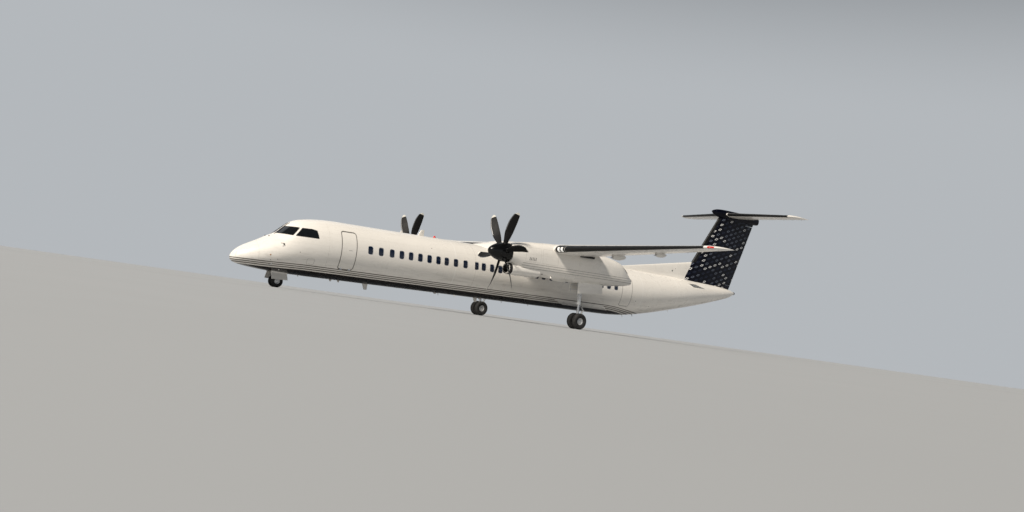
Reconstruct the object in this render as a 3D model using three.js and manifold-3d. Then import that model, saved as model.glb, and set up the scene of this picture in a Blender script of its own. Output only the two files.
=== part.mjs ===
// A twin-engined, high-wing, T-tailed turboprop airliner, parked on its landing gear.
// Millimetres, +X to the nose, +Y to port, +Z up, the ground at Z = 0.
// Everything is drawn in the airframe's own axes: a station s aft of the nose, a distance y to port and
// a height w above the fuselage axis. One group then stands the airframe nose-down on its wheels.
import * as THREE from 'three';
import { mergeVertices } from 'three/addons/utils/BufferGeometryUtils.js';
import Module from 'manifold-3d';

const wasm = await Module();
wasm.setup();

// How it stands
const NOSE_DOWN = THREE.MathUtils.degToRad(1.1);
const AXIS_HEIGHT_AT_NOSE = 1950;
const NOSE_TO_CENTRE = 16432;
const SEAT_GAP = 0.35; // between pieces that rest on or fit round each other
const HINGE_GAP = 9; // between a control surface's round nose and its cove

// Fuselage
const BARREL_RADIUS = 1345;
const FUSELAGE_SIDES = 32;
const WALL = 90;
const RADOME_END = 1000;
const NOSE_SECTION_END = 4050;
const FORWARD_SECTION_END = 11900;
const CENTRE_SECTION_END = 18900;
const AFT_SECTION_END = 30300;
const TAIL_END = 31640;
const CABIN_FLOOR = -738;
const HOLD = { end: 24500, wall: 200 }; // rear cabin and baggage hold, hollow

// Columns: station, top, bottom, half breadth, height of the greatest breadth
const FUSELAGE = [
  [0, -820, -960, 80, -890],
  [170, -565, -1100, 330, -845],
  [350, -410, -1150, 485, -800],
  [550, -280, -1185, 610, -750],
  [910, -90, -1230, 780, -670],
  [1290, 105, -1265, 925, -580],
  [1560, 265, -1285, 1005, -520],
  [1880, 430, -1305, 1085, -450],
  [2300, 800, -1325, 1165, -320],
  [2590, 1030, -1333, 1210, -220],
  [2950, 1170, -1338, 1255, -130],
  [3830, 1305, -1345, 1325, -25],
  [4660, 1345, -1345, 1345, 0],
  [21300, 1345, -1345, 1345, 0],
  [22600, 1342, -1285, 1326, 20],
  [23300, 1335, -1200, 1297, 50],
  [24020, 1325, -1085, 1255, 85],
  [25540, 1300, -790, 1125, 190],
  [27110, 1268, -450, 940, 370],
  [28710, 1230, -80, 705, 560],
  [30050, 1165, 270, 490, 710],
  [31100, 1065, 575, 280, 820],
  [31640, 930, 830, 55, 880],
];

// Passenger door, port side, hinged at its sill
const DOOR = { front: 4670, rear: 5400, sill: -800, head: 905, gap: 6, thick: 85 };
const DOOR_HINGE = { y: 1098, w: -822, radius: 14 };
const VESTIBULE = { front: 4160, rear: 5990, head: 1160 };
const AISLE_DOOR = { half: 300, head: 1020 };

// Flight deck
const DECK = { front: 1700, rear: 3950, floor: -560, wall: 95 };
const GLASS = { inset: 8, thick: 32, gap: 0.6 };
// Window outlines seen from the side, in stations and heights
const WINDSCREEN = [[1850, 425], [2275, 800], [2752, 800], [2400, 392]];
const SIDE_WINDOW = [[2478, 388], [2835, 795], [3260, 805], [3490, 765], [3562, 392]];
const CENTRE_POST = 42;

// Wing
const WING = {
  root: { s: 13900, chord: 2860, w: 1420, thickness: 0.175 },
  tip: { s: 15080, chord: 1230, w: 1890, thickness: 0.135 },
  camber: 0.02,
  bend: 5000, // where taper and dihedral begin
  tipRib: 13560,
  end: 14210,
};
// Outline of the raked tip. Columns: y, leading edge, trailing edge, thickness ratio
const WING_TIP = [
  [13560, 15078, 16330, 0.135],
  [13860, 15260, 16300, 0.125],
  [14080, 15560, 16272, 0.11],
  [14210, 15930, 16250, 0.07],
];
const FLAP = {
  inner: [1420, 3745], // from the fuselage to the nacelle
  outer: [5075, 10290], // from the nacelle to the aileron
  travel: 35,
  pivotFraction: 0.7,
  pivotDrop: 0.079, // of the chord, below the chord line
};
const AILERON = { from: 10370, to: 13500, hinge: 0.765 };
const FLAP_FAIRINGS = { inner: [2600], outer: [6850, 9800] };
// Columns: distance from the pivot, depth below the wing, half width
const FAIRING_SHAPE = [
  [-880, 10, 12],
  [-700, 75, 52],
  [-400, 165, 82],
  [0, 285, 92],
  [350, 330, 84],
  [700, 290, 62],
  [900, 205, 34],
  [985, 130, 10],
];
// The fairing's front half stays with the wing and its rear half turns with the flap
const FAIRING_SPLIT = { front: -15, rear: 34 };
// Flap hinge inside each fairing: a tongue on the wing's half between two cheeks on the flap's half
const FLAP_HINGE = {
  tongue: 16, cheekInside: 20, cheekOutside: 44, radius: 24, pocket: 34, pin: 9, room: 0.85,
};
// Pins on the hinge lines of ailerons, elevators and rudders
const PIN_ROOM = 0.6;
const PIN_SIDES = 16;
const PINS = { aileron: 13, elevator: 20, rudder: 26, tab: 12 };
const TAB_HINGES = [2250, 4150]; // heights of the trailing rudder's brackets

// Saddle fairing over the fuselage. Columns: station, half width, top
const SADDLE = [
  [12500, 260, 1372],
  [13150, 720, 1510],
  [13800, 1010, 1690],
  [14800, 1120, 1800],
  [16300, 1120, 1740],
  [17200, 930, 1570],
  [18200, 560, 1430],
  [18800, 200, 1370],
];
const SADDLE_BASE = 1000;

// Engine nacelles
const NACELLE_Y = 4400;
// Columns: station, top, bottom, half width, corner sharpness
const NACELLE = [
  [11665, 1385, 475, 455, 2],
  [11900, 1450, 400, 500, 2.1],
  [12400, 1540, 200, 550, 2.3],
  [13200, 1610, 60, 575, 2.6],
  [14300, 1665, -10, 580, 2.9],
  [15600, 1640, -30, 580, 3],
  [16800, 1560, -10, 575, 2.9],
  [17600, 1465, 40, 545, 2.7],
  [18400, 1250, 110, 480, 2.5],
  [18800, 890, 165, 410, 2.4],
  [19170, 545, 245, 300, 2.2],
];
// Air intake under the spinner, in the same columns
const INTAKE = [
  [11640, 435, -45, 300, 2.3],
  [11780, 470, -70, 335, 2.3],
  [12400, 520, -70, 400, 2.3],
  [13300, 500, -60, 470, 2.4],
];
const INTAKE_LIP = 48;
const INTAKE_DEPTH = 620;
const EXHAUST = { w: 850, radius: 235, from: 17850 };
const ENGINE = { front: 12150, rear: 14400, half: 340, bottom: 590, top: 1130 };

// Propellers
const PROPELLER = {
  disc: 11320,
  w: 930,
  radius: 2055,
  blades: 6,
  spinnerTip: 10530,
  spinnerBack: 11625,
  spinnerRadius: 450,
  hubRadius: 250,
  shaftRadius: 100,
  firstBlade: 8.5,
};
// Columns: radius, chord, thickness, blade angle in degrees, sweep back along the rotation
const BLADE = [
  [230, 170, 130, 62, 0],
  [600, 250, 70, 58, 8],
  [850, 345, 48, 53, 18],
  [1150, 400, 36, 48.5, 10],
  [1450, 405, 28, 44.5, -20],
  [1880, 305, 17, 39.5, -125],
  [2045, 110, 9, 37, -205],
];

// T-tail. Fin columns: height, leading edge, trailing edge
const FIN = {
  base: { w: 1000, le: 26955, te: 31090 },
  top: { w: 5420, le: 29715, te: 32720 },
  thickness: 0.115,
  rudderHinge: 0.62,
  tabHinge: 0.83,
  rudderFoot: 1330,
  rudderHead: 5085,
  noseRound: 1.015, // of the fin's half thickness at the hinge
};
const DORSAL = { from: 21500, to: 27860, top: 2365, half: 95 };
const TAILPLANE = {
  root: { s: 29950, te: 32310 },
  tip: { s: 30740, te: 32270 },
  w: 5540,
  tipRib: 4290,
  end: 4635,
  thickness: 0.12,
  hinge: 0.665,
  elevatorFrom: 345,
};
const TAILPLANE_TIP = [
  [4290, 30712, 32272, 0.12],
  [4470, 30850, 32262, 0.11],
  [4580, 31090, 32250, 0.09],
  [4635, 31480, 32240, 0.05],
];
// Columns: station, top, bottom, half width, corner sharpness
const BULLET = [
  [29000, 5615, 5545, 18, 2],
  [29150, 5690, 5450, 88, 2],
  [29500, 5770, 5330, 168, 2],
  [30100, 5802, 5255, 222, 2.1],
  [31000, 5800, 5235, 232, 2.2],
  [32000, 5765, 5240, 215, 2.3],
  [32700, 5725, 5255, 190, 2.4],
  [32958, 5690, 5275, 172, 2.4],
];

// Landing gear. A wheel's columns are radius and distance along the axle
const MAIN_GEAR = {
  s: 16200, tyreRadius: 393.7, tyreHalf: 124, seat: 168, twin: 212, sides: 20,
  strut: 95, piston: 62, axle: 45, well: [15760, 17320], wellHalf: 330, roof: 520,
};
const NOSE_GEAR = {
  s: 2250, tyreRadius: 279.4, tyreHalf: 82.5, seat: 128, twin: 152, sides: 18,
  strut: 68, piston: 46, axle: 32, well: [1870, 2650], wellHalf: 405, roof: -880,
};
const BORE_ROOM = 0.6;

// Finishes
const finish = (colour, roughness, metalness) =>
  new THREE.MeshStandardMaterial({ color: colour, roughness, metalness });
const WHITE_PAINT = finish(0xe9e6e0, 0.35, 0.1);
const NAVY_PAINT = finish(0x0b0f22, 0.3, 0.1);
const BLACK_PAINT = finish(0x0a0a0b, 0.35, 0.1);
const GREY_PAINT = finish(0xb9bcbd, 0.4, 0.1);
const BARE_STEEL = finish(0xa8aaac, 0.35, 0.9);
const CAST_METAL = finish(0x6b6d70, 0.5, 0.8);
const TYRE_RUBBER = finish(0x1a1a1b, 0.85, 0);
const TINTED_GLASS = finish(0x14222a, 0.08, 0);
const TRIM = finish(0x3a3c40, 0.7, 0);

const lerp = THREE.MathUtils.lerp;
const radians = THREE.MathUtils.degToRad;

const FORWARD = new THREE.Vector3(1, 0, 0);
const AFT = new THREE.Vector3(-1, 0, 0);
const PORT = new THREE.Vector3(0, 1, 0);

// The point at a station, a distance to port and a height above the fuselage axis
const at = (s, y, w) => new THREE.Vector3(-s, y, w);

// Six times the volume inside a closed mesh, negative where its faces point in
function signedVolume(positions, index) {
  const corner = (i) => new THREE.Vector3().fromArray(positions, index[i] * 3);
  let sum = 0;
  for (let i = 0; i < index.length; i += 3) sum += corner(i).dot(corner(i + 1).cross(corner(i + 2)));
  return sum;
}

function flipped(index) {
  const out = Uint32Array.from(index);
  for (let i = 0; i < out.length; i += 3) [out[i + 1], out[i + 2]] = [out[i + 2], out[i + 1]];
  return out;
}

const solidFrom = (vertProperties, triVerts) =>
  new wasm.Manifold(new wasm.Mesh({ numProp: 3, vertProperties, triVerts: Uint32Array.from(triVerts) }));

// A closed geometry as a solid, its faces turned out
function solidOf(geometry) {
  const bare = geometry.index ? geometry.toNonIndexed() : geometry.clone();
  bare.deleteAttribute('normal');
  bare.deleteAttribute('uv');
  const merged = mergeVertices(bare, 1e-3);
  const positions = merged.attributes.position.array;
  const whole = [];
  const index = merged.index.array;
  for (let i = 0; i < index.length; i += 3) {
    const [a, b, c] = [index[i], index[i + 1], index[i + 2]];
    if (a !== b && b !== c && c !== a) whole.push(a, b, c);
  }
  return solidFrom(positions, signedVolume(positions, whole) < 0 ? flipped(whole) : whole);
}

const joined = (...solids) => solids.flat().reduce((whole, next) => whole.add(next));
const cut = (solid, ...tools) => tools.flat().reduce((left, tool) => left.subtract(tool), solid);

const meshOf = (solid) => {
  const { vertProperties, triVerts } = solid.getMesh();
  return { positions: vertProperties, index: triVerts };
};

// The same solid on the other side of the plane Y = 0
function mirrored(solid) {
  const { positions, index } = meshOf(solid);
  return solidFrom(positions.map((value, i) => (i % 3 === 1 ? -value : value)), flipped(index));
}

// The mesh of a solid's largest body, without the slivers that a cut can leave
function geometryOf(solid) {
  const { positions, index } = meshOf(solid);
  const lead = Array.from({ length: positions.length / 3 }, (_, i) => i);
  const find = (i) => {
    while (lead[i] !== i) i = lead[i] = lead[lead[i]];
    return i;
  };
  for (let i = 0; i < index.length; i += 3) {
    lead[find(index[i])] = find(index[i + 1]);
    lead[find(index[i + 1])] = find(index[i + 2]);
  }
  const bodies = new Map();
  for (let i = 0; i < index.length; i += 3) {
    const key = find(index[i]);
    if (!bodies.has(key)) bodies.set(key, []);
    bodies.get(key).push(index[i], index[i + 1], index[i + 2]);
  }
  const [main] = [...bodies.values()].sort((a, b) => signedVolume(positions, b) - signedVolume(positions, a));
  const all = new THREE.BufferGeometry();
  all.setAttribute('position', new THREE.BufferAttribute(positions, 3));
  all.setIndex(main);
  const geometry = mergeVertices(all.toNonIndexed(), 1e-6);
  geometry.computeVertexNormals();
  return geometry;
}

// A skin through rings of the same number of points, closed at both ends
function loft(rings) {
  const count = rings[0].length;
  const points = rings.flat();
  const index = [];
  for (let r = 0; r + 1 < rings.length; r++) {
    for (let i = 0; i < count; i++) {
      const [a, b] = [r * count + i, r * count + ((i + 1) % count)];
      index.push(a, b, a + count, b, b + count, a + count);
    }
  }
  const last = (rings.length - 1) * count;
  for (const [a, b, c] of capOf(rings[0])) index.push(c, b, a);
  for (const [a, b, c] of capOf(rings[rings.length - 1])) index.push(last + a, last + b, last + c);
  const geometry = new THREE.BufferGeometry().setFromPoints(points);
  geometry.setIndex(index);
  return solidOf(geometry);
}

// Triangles that fill a ring, each in the ring's own order
function capOf(ring) {
  const normal = new THREE.Vector3();
  const edge = (i) => new THREE.Vector3().subVectors(ring[i % ring.length], ring[0]);
  ring.forEach((p, i) => normal.add(edge(i).cross(edge(i + 1))));
  normal.normalize();
  const along = new THREE.Vector3(Math.abs(normal.x) < 0.9 ? 1 : 0, Math.abs(normal.x) < 0.9 ? 0 : 1, 0);
  along.addScaledVector(normal, -along.dot(normal)).normalize();
  const across = new THREE.Vector3().crossVectors(normal, along);
  const outline = ring.map((p) => new THREE.Vector2(p.dot(along), p.dot(across)));
  return THREE.ShapeUtils.triangulateShape(outline, []).map(([a, b, c]) => {
    const [p, q, r] = [outline[a], outline[b], outline[c]];
    const turn = (q.x - p.x) * (r.y - p.y) - (q.y - p.y) * (r.x - p.x);
    return turn > 0 ? [a, b, c] : [c, b, a];
  });
}

// A row of a table at any value of its first column
function rowAt(table, value) {
  let next = table.findIndex((row) => row[0] >= value);
  if (next < 1) next = next < 0 ? table.length - 1 : 1;
  const [a, b] = [table[next - 1], table[next]];
  const t = (value - a[0]) / (b[0] - a[0]);
  return a.map((entry, column) => lerp(entry, b[column], t));
}

// The first column between two ends, with the ends
const stepsBetween = (table, from, to) => [
  from,
  ...table.map((row) => row[0]).filter((value) => value > from + 1 && value < to - 1),
  to,
];

// A box between two stations, two distances to port and two heights
function box([s0, s1], [y0, y1], [w0, w1]) {
  const geometry = new THREE.BoxGeometry(Math.abs(s1 - s0), Math.abs(y1 - y0), Math.abs(w1 - w0));
  return solidOf(geometry.translate(-(s0 + s1) / 2, (y0 + y1) / 2, (w0 + w1) / 2));
}

// A round bar or cone from one point to another
function rod(from, to, radius, endRadius = radius, sides = 14) {
  const axis = new THREE.Vector3().subVectors(to, from);
  const geometry = new THREE.CylinderGeometry(endRadius, radius, axis.length(), sides);
  const upright = new THREE.Vector3(0, 1, 0);
  const turn = new THREE.Quaternion().setFromUnitVectors(upright, axis.clone().normalize());
  geometry.applyQuaternion(turn);
  const middle = new THREE.Vector3().addVectors(from, to).multiplyScalar(0.5);
  return solidOf(geometry.translate(middle.x, middle.y, middle.z));
}

// A square bar from one point to another, upright in its section
function bar(from, to, width, depth) {
  const axis = new THREE.Vector3().subVectors(to, from);
  const geometry = new THREE.BoxGeometry(axis.length(), width, depth);
  const lengthwise = new THREE.Vector3(1, 0, 0);
  const turn = new THREE.Quaternion().setFromUnitVectors(lengthwise, axis.clone().normalize());
  geometry.applyQuaternion(turn);
  const middle = new THREE.Vector3().addVectors(from, to).multiplyScalar(0.5);
  return solidOf(geometry.translate(middle.x, middle.y, middle.z));
}

// A closed outline of stations and heights, drawn out from one distance to port to another
function panel(outline, y0, y1) {
  return loft([y0, y1].map((y) => outline.map(([s, w]) => at(s, y, w))));
}

// A closed outline of radii and distances turned about a line through a point, from a first angle
function turned(outline, sides, centre, direction, first = 0) {
  const axis = direction.clone().normalize();
  const side = new THREE.Vector3(0, 0, 1).addScaledVector(axis, -axis.z);
  if (side.length() < 0.1) side.set(1, 0, 0).addScaledVector(axis, -axis.x);
  side.normalize();
  const third = new THREE.Vector3().crossVectors(axis, side);
  const points = [];
  const index = [];
  const count = outline.length;
  for (let k = 0; k < sides; k++) {
    const angle = first + (2 * Math.PI * k) / sides;
    for (const [radius, along] of outline) {
      points.push(
        centre.clone().addScaledVector(axis, along)
          .addScaledVector(side, radius * Math.cos(angle))
          .addScaledVector(third, radius * Math.sin(angle)),
      );
    }
    for (let i = 0; i < count; i++) {
      const [a, b] = [k * count + i, k * count + ((i + 1) % count)];
      const turn = (p) => (p + count) % (sides * count);
      index.push(a, b, turn(a), b, turn(b), turn(a));
    }
  }
  const geometry = new THREE.BufferGeometry().setFromPoints(points);
  geometry.setIndex(index);
  return solidOf(geometry);
}

// A ring round the fuselage, moved out by an allowance
function fuselageRing(s, allowance = 0, sides = FUSELAGE_SIDES) {
  const [, top, bottom, half, middle] = rowAt(FUSELAGE, s);
  return Array.from({ length: sides }, (_, i) => {
    const angle = (2 * Math.PI * i) / sides;
    const rise = Math.sin(angle);
    const reach = (rise > 0 ? top - middle : middle - bottom) + allowance;
    return at(s, (half + allowance) * Math.cos(angle), middle + reach * rise);
  });
}

const fuselageBody = (from, to, allowance = 0) =>
  loft(stepsBetween(FUSELAGE, from, to).map((s) => fuselageRing(s, allowance)));

// A fairing's ring: sharpness 2 is an ellipse, more is squarer
function squaredRing([s, top, bottom, half, sharpness], y, sides, allowance = 0) {
  return Array.from({ length: sides }, (_, i) => {
    const angle = (2 * Math.PI * (i + 0.5)) / sides;
    const shape = (v) => Math.sign(v) * Math.abs(v) ** (2 / sharpness);
    return at(
      s,
      y + (half + allowance) * shape(Math.cos(angle)),
      (top + bottom) / 2 + ((top - bottom) / 2 + allowance) * shape(Math.sin(angle)),
    );
  });
}

// Half the thickness of the wing sections, as a share of the chord
const sectionHalf = (x, thickness) =>
  5 * thickness * (0.2969 * Math.sqrt(x) - 0.126 * x - 0.3516 * x ** 2 + 0.2843 * x ** 3 - 0.1036 * x ** 4);
const SECTION_STEPS = [0, 0.014, 0.06, 0.15, 0.3, 0.5, 0.7, 1];
const BLUNT_EDGE = 0.0022;

// A wing section as pairs of chord and height, with an allowance all round
function section(chord, thickness, camber, allowance = 0) {
  const line = (x) => camber * 4 * x * (1 - x);
  const half = (x) => sectionHalf(x, thickness) + BLUNT_EDGE * x;
  const upper = SECTION_STEPS.map((x) => [x * chord, (line(x) + half(x)) * chord]);
  const lower = SECTION_STEPS.slice(1).reverse()
    .map((x) => [x * chord, (line(x) - sectionHalf(x, thickness) - BLUNT_EDGE * x) * chord]);
  const outline = [...upper, ...lower];
  if (!allowance) return outline;
  return outline.map(([x, z], i) => {
    const before = outline[(i + outline.length - 1) % outline.length];
    const after = outline[(i + 1) % outline.length];
    const [dx, dz] = [after[0] - before[0], after[1] - before[1]];
    const length = Math.hypot(dx, dz);
    return [x - (dz / length) * allowance * 1.05, z + (dx / length) * allowance * 1.05];
  });
}

// Wing: leading edge, chord, height and thickness ratio at a distance y from the middle
function wingAt(y) {
  const { root, tip, bend, tipRib } = WING;
  const t = Math.max(0, (Math.abs(y) - bend) / (tipRib - bend));
  const tipRow = Math.abs(y) > tipRib ? rowAt(WING_TIP, Math.abs(y)) : null;
  return {
    le: tipRow ? tipRow[1] : lerp(root.s, tip.s, t),
    chord: tipRow ? tipRow[2] - tipRow[1] : lerp(root.chord, tip.chord, t),
    w: lerp(root.w, tip.w, t),
    thickness: tipRow ? tipRow[3] : lerp(root.thickness, tip.thickness, t),
  };
}

const wingRing = (y, allowance = 0) => {
  const { le, chord, w, thickness } = wingAt(y);
  return section(chord, thickness, WING.camber, allowance).map(([x, z]) => at(le + x, y, w + z));
};

const wingBody = (steps, allowance = 0) => loft(steps.map((y) => wingRing(y, allowance)));

// The point on the wing at a share of the chord, at a height above the chord line
const onWing = (y, share, rise = 0) => {
  const { le, chord, w } = wingAt(y);
  return at(le + chord * share, y, w + rise);
};

// The space that a flap fills, its nose drawn in shares of the chord
const FLAP_NOSE = [
  [0.722, -0.16], [0.706, -0.03], [0.703, -0.012], [0.71, 0.004], [0.735, 0.02], [0.775, 0.03], [0.83, 0.037],
];
function flapSpace(y0, y1, allowance) {
  return loft(
    [y0, y1].map((y) => {
      const { le, chord, w } = wingAt(y);
      const nose = FLAP_NOSE.map(([x, z]) => at(le + x * chord - allowance, y, w + z * chord + allowance));
      return [
        ...nose,
        at(le + 0.86 * chord - allowance, y, w + 0.3 * chord),
        at(le + 1.2 * chord, y, w + 0.3 * chord),
        at(le + 1.2 * chord, y, w - 0.16 * chord),
      ];
    }),
  );
}

// The space behind a hinge line with a round nose about it, between two rings of the surface
function hingedSpace(from, to, radii, aft, allowance) {
  const axis = new THREE.Vector3().subVectors(to, from).normalize();
  const back = aft.clone().addScaledVector(axis, -aft.dot(axis)).normalize();
  const side = new THREE.Vector3().crossVectors(axis, back);
  const sides = 9;
  const ring = (centre, radius) => {
    const start = Math.asin(allowance / (radius + allowance));
    const arc = Array.from({ length: sides + 1 }, (_, i) => {
      const angle = Math.PI / 2 + start + ((Math.PI - 2 * start) * i) / sides;
      return centre.clone().addScaledVector(back, (radius + allowance) * Math.cos(angle))
        .addScaledVector(side, (radius + allowance) * Math.sin(angle));
    });
    const reach = (across) => centre.clone().addScaledVector(back, 4000).addScaledVector(side, across);
    const level = (across) => centre.clone().addScaledVector(back, -allowance).addScaledVector(side, across);
    return [level(1200), ...arc, level(-1200), reach(-1200), reach(1200)];
  };
  return loft([ring(from, radii[0]), ring(to, radii[1])]);
}

// A flap-track fairing's ring under the wing
function fairingRing(y, [along, depth, half], top) {
  const pivot = onWing(y, FLAP.pivotFraction);
  return Array.from({ length: 8 }, (_, i) => {
    const angle = (2 * Math.PI * (i + 0.5)) / 8;
    const middle = (top - depth) / 2;
    return new THREE.Vector3(
      pivot.x - along,
      y + half * Math.cos(angle),
      pivot.z + middle + ((top + depth) / 2) * Math.sin(angle),
    );
  });
}

function fairing(y, from, to) {
  const chord = wingAt(y).chord;
  const scale = chord / WING.root.chord;
  const slim = lerp(1, scale, 0.5);
  const table = FAIRING_SHAPE.map(([along, depth, half]) => [along * scale, depth * scale, half * slim]);
  const steps = stepsBetween(table, Math.max(from, table[0][0]), Math.min(to, table[table.length - 1][0]));
  return loft(
    steps.map((along) => {
      const row = rowAt(table, along);
      const past = Math.max(0, along - chord * (1 - FLAP.pivotFraction) + 60);
      return fairingRing(y, row, Math.max(-row[1] + 14, 10 - past * 0.45));
    }),
  );
}

const pieces = [];
const add = (name, solid, material) => pieces.push({ name, geometry: geometryOf(solid), material });

// Everything that is alike on both sides is drawn to port and mirrored
const addPair = (name, solid, material) => {
  add(`port_${name}`, solid, material);
  add(`starboard_${name}`, mirrored(solid), material);
};

// Fuselage
const half = SEAT_GAP / 2;
const deckSteps = stepsBetween(FUSELAGE, DECK.front, NOSE_SECTION_END - 100);
const innerDeck = loft(deckSteps.map((s) => fuselageRing(s, -DECK.wall)));
const aboveFloor = box([0, NOSE_SECTION_END + 100], [-2000, 2000], [DECK.floor, 2000]);
const aisle = box(
  [NOSE_SECTION_END - 300, VESTIBULE.front + 60],
  [-AISLE_DOOR.half, AISLE_DOOR.half],
  [DECK.floor, AISLE_DOOR.head],
);
const windscreenHole = panel(WINDSCREEN, CENTRE_POST, 1500);
const sideHole = panel(SIDE_WINDOW, 400, 1500);
const windowHoles = [windscreenHole, sideHole].flatMap((hole) => [hole, mirrored(hole)]);
const noseWellHalf = NOSE_GEAR.wellHalf - 120;
const noseWell = box(NOSE_GEAR.well, [-noseWellHalf, noseWellHalf], [-1500, NOSE_GEAR.roof]);

add('radome', fuselageBody(0, RADOME_END - half), WHITE_PAINT);
add(
  'nose_fuselage',
  cut(
    fuselageBody(RADOME_END + half, NOSE_SECTION_END - half),
    innerDeck.intersect(aboveFloor), aisle, windowHoles, noseWell,
  ),
  WHITE_PAINT,
);

// Glass: a shell under the skin, cut to each window's outline with room round it
const glassShell = loft(stepsBetween(FUSELAGE, 1500, 4000).map((s) => fuselageRing(s, -GLASS.inset)))
  .subtract(loft(stepsBetween(FUSELAGE, 1450, 4050).map((s) => fuselageRing(s, -GLASS.inset - GLASS.thick))));
function shrunk(outline, by) {
  const points = outline.map(([s, w]) => new THREE.Vector2(s, w));
  const area = THREE.ShapeUtils.area(points);
  return points.map((p, i) => {
    const before = points[(i + points.length - 1) % points.length];
    const after = points[(i + 1) % points.length];
    const normal = (a, b) =>
      new THREE.Vector2(a.y - b.y, b.x - a.x).normalize().multiplyScalar(Math.sign(area));
    const [m, n] = [normal(before, p), normal(p, after)];
    const mitre = m.clone().add(n).multiplyScalar(by / (1 + m.dot(n)));
    return [p.x + mitre.x, p.y + mitre.y];
  });
}
const frontGlass = glassShell.intersect(panel(shrunk(WINDSCREEN, GLASS.gap), CENTRE_POST + GLASS.gap, 1500));
const sideGlass = glassShell.intersect(panel(shrunk(SIDE_WINDOW, GLASS.gap), 400, 1500));
addPair('windscreen', frontGlass, TINTED_GLASS);
addPair('side_window', sideGlass, TINTED_GLASS);

// Flight deck: floor plate, instrument panel, pedestal and two seats in one piece
const deckBase = DECK.floor + SEAT_GAP;
const seat = (y) => [
  box([2960, 3420], [y - 90, y + 90], [deckBase + 10, -230]),
  box([2940, 3430], [y - 230, y + 230], [-250, -150]),
  box([3390, 3490], [y - 230, y + 230], [-180, 430]),
  box([3400, 3470], [y - 130, y + 130], [400, 600]),
];
add(
  'flight_deck_interior',
  joined(
    box([2000, 3900], [-620, 620], [deckBase, deckBase + 25]),
    box([2120, 2320], [-600, 600], [deckBase + 5, 190]),
    box([2060, 2380], [-620, 620], [170, 215]),
    box([2300, 3150], [-150, 150], [deckBase + 5, -190]),
    seat(430), seat(-430),
  ),
  TRIM,
);

// Forward fuselage with the vestibule and the passenger door's opening
const room = loft(
  stepsBetween(FUSELAGE, VESTIBULE.front, VESTIBULE.rear).map((s) => fuselageRing(s, -WALL)),
).intersect(box([0, 9000], [-2000, 2000], [CABIN_FLOOR, VESTIBULE.head]));
const doorway = joined(
  box([DOOR.front, DOOR.rear], [940, 1600], [DOOR.sill, DOOR.head]),
  box([DOOR.front, DOOR.rear], [700, 1600], [CABIN_FLOOR, DOOR.head]),
);
const aisleAft = box(
  [NOSE_SECTION_END - 50, VESTIBULE.front + 50],
  [-AISLE_DOOR.half, AISLE_DOOR.half],
  [DECK.floor, AISLE_DOOR.head],
);
// Hinges under the sill: a pin between two cheeks, and the door's knuckle round the pin
const hingeStations = [DOOR.front + 150, DOOR.rear - 150];
const { y: hingeY, w: hingeW, radius: knuckleRadius } = DOOR_HINGE;
const cheek = (s) => joined(
  rod(at(s - 10, hingeY, hingeW), at(s + 10, hingeY, hingeW), knuckleRadius + 3),
  bar(at(s, hingeY - 2, hingeW - 2), at(s, 1010, hingeW - 55), 24, 20).intersect(
    box([s - 10, s + 10], [900, 1300], [-1000, 0]),
  ),
);
const hingeMount = (s) => joined(
  cheek(s - 52), cheek(s + 52), rod(at(s - 55, hingeY, hingeW), at(s + 55, hingeY, hingeW), 7, 7, 16),
);
add(
  'forward_fuselage',
  joined(
    cut(fuselageBody(NOSE_SECTION_END + half, FORWARD_SECTION_END - half), room, doorway, aisleAft),
    hingeStations.map(hingeMount),
  ),
  WHITE_PAINT,
);

const doorShell = fuselageBody(DOOR.front + DOOR.gap, DOOR.rear - DOOR.gap)
  .subtract(fuselageBody(DOOR.front - 50, DOOR.rear + 50, -DOOR.thick))
  .intersect(box([DOOR.front, DOOR.rear], [600, 1500], [DOOR.sill + 8, DOOR.head - 18]));
const doorSteps = [-520, -270, -20, 230, 480].map((w) => {
  const skin = Math.sqrt((BARREL_RADIUS - DOOR.thick) ** 2 - w ** 2);
  return box([DOOR.front + 60, DOOR.rear - 60], [skin - 200, skin + 20], [w - 15, w + 15]);
});
const stringers = [DOOR.front + 60, DOOR.rear - 90].map((s) =>
  panel([[s, -560], [s + 30, -560], [s + 30, 520], [s, 520]], 1020, 1240)
    .intersect(fuselageBody(DOOR.front - 50, DOOR.rear + 50, -DOOR.thick + 15)),
);
const knuckle = (s) => cut(
  joined(
    rod(at(s - 36, hingeY, hingeW), at(s + 36, hingeY, hingeW), knuckleRadius),
    panel(
      [[s - 36, hingeW - 4], [s + 36, hingeW - 4], [s + 36, hingeW + 14], [s - 36, hingeW + 14]],
      hingeY - 14, hingeY + 2,
    ),
    box([s - 36, s + 36], [hingeY - 10, hingeY + 10], [hingeW, DOOR.sill + 50]),
  ),
  rod(at(s - 60, hingeY, hingeW), at(s + 60, hingeY, hingeW), 7.6, 7.6, 16),
);
add('passenger_door', joined(doorShell, doorSteps, stringers, hingeStations.map(knuckle)), WHITE_PAINT);

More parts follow.
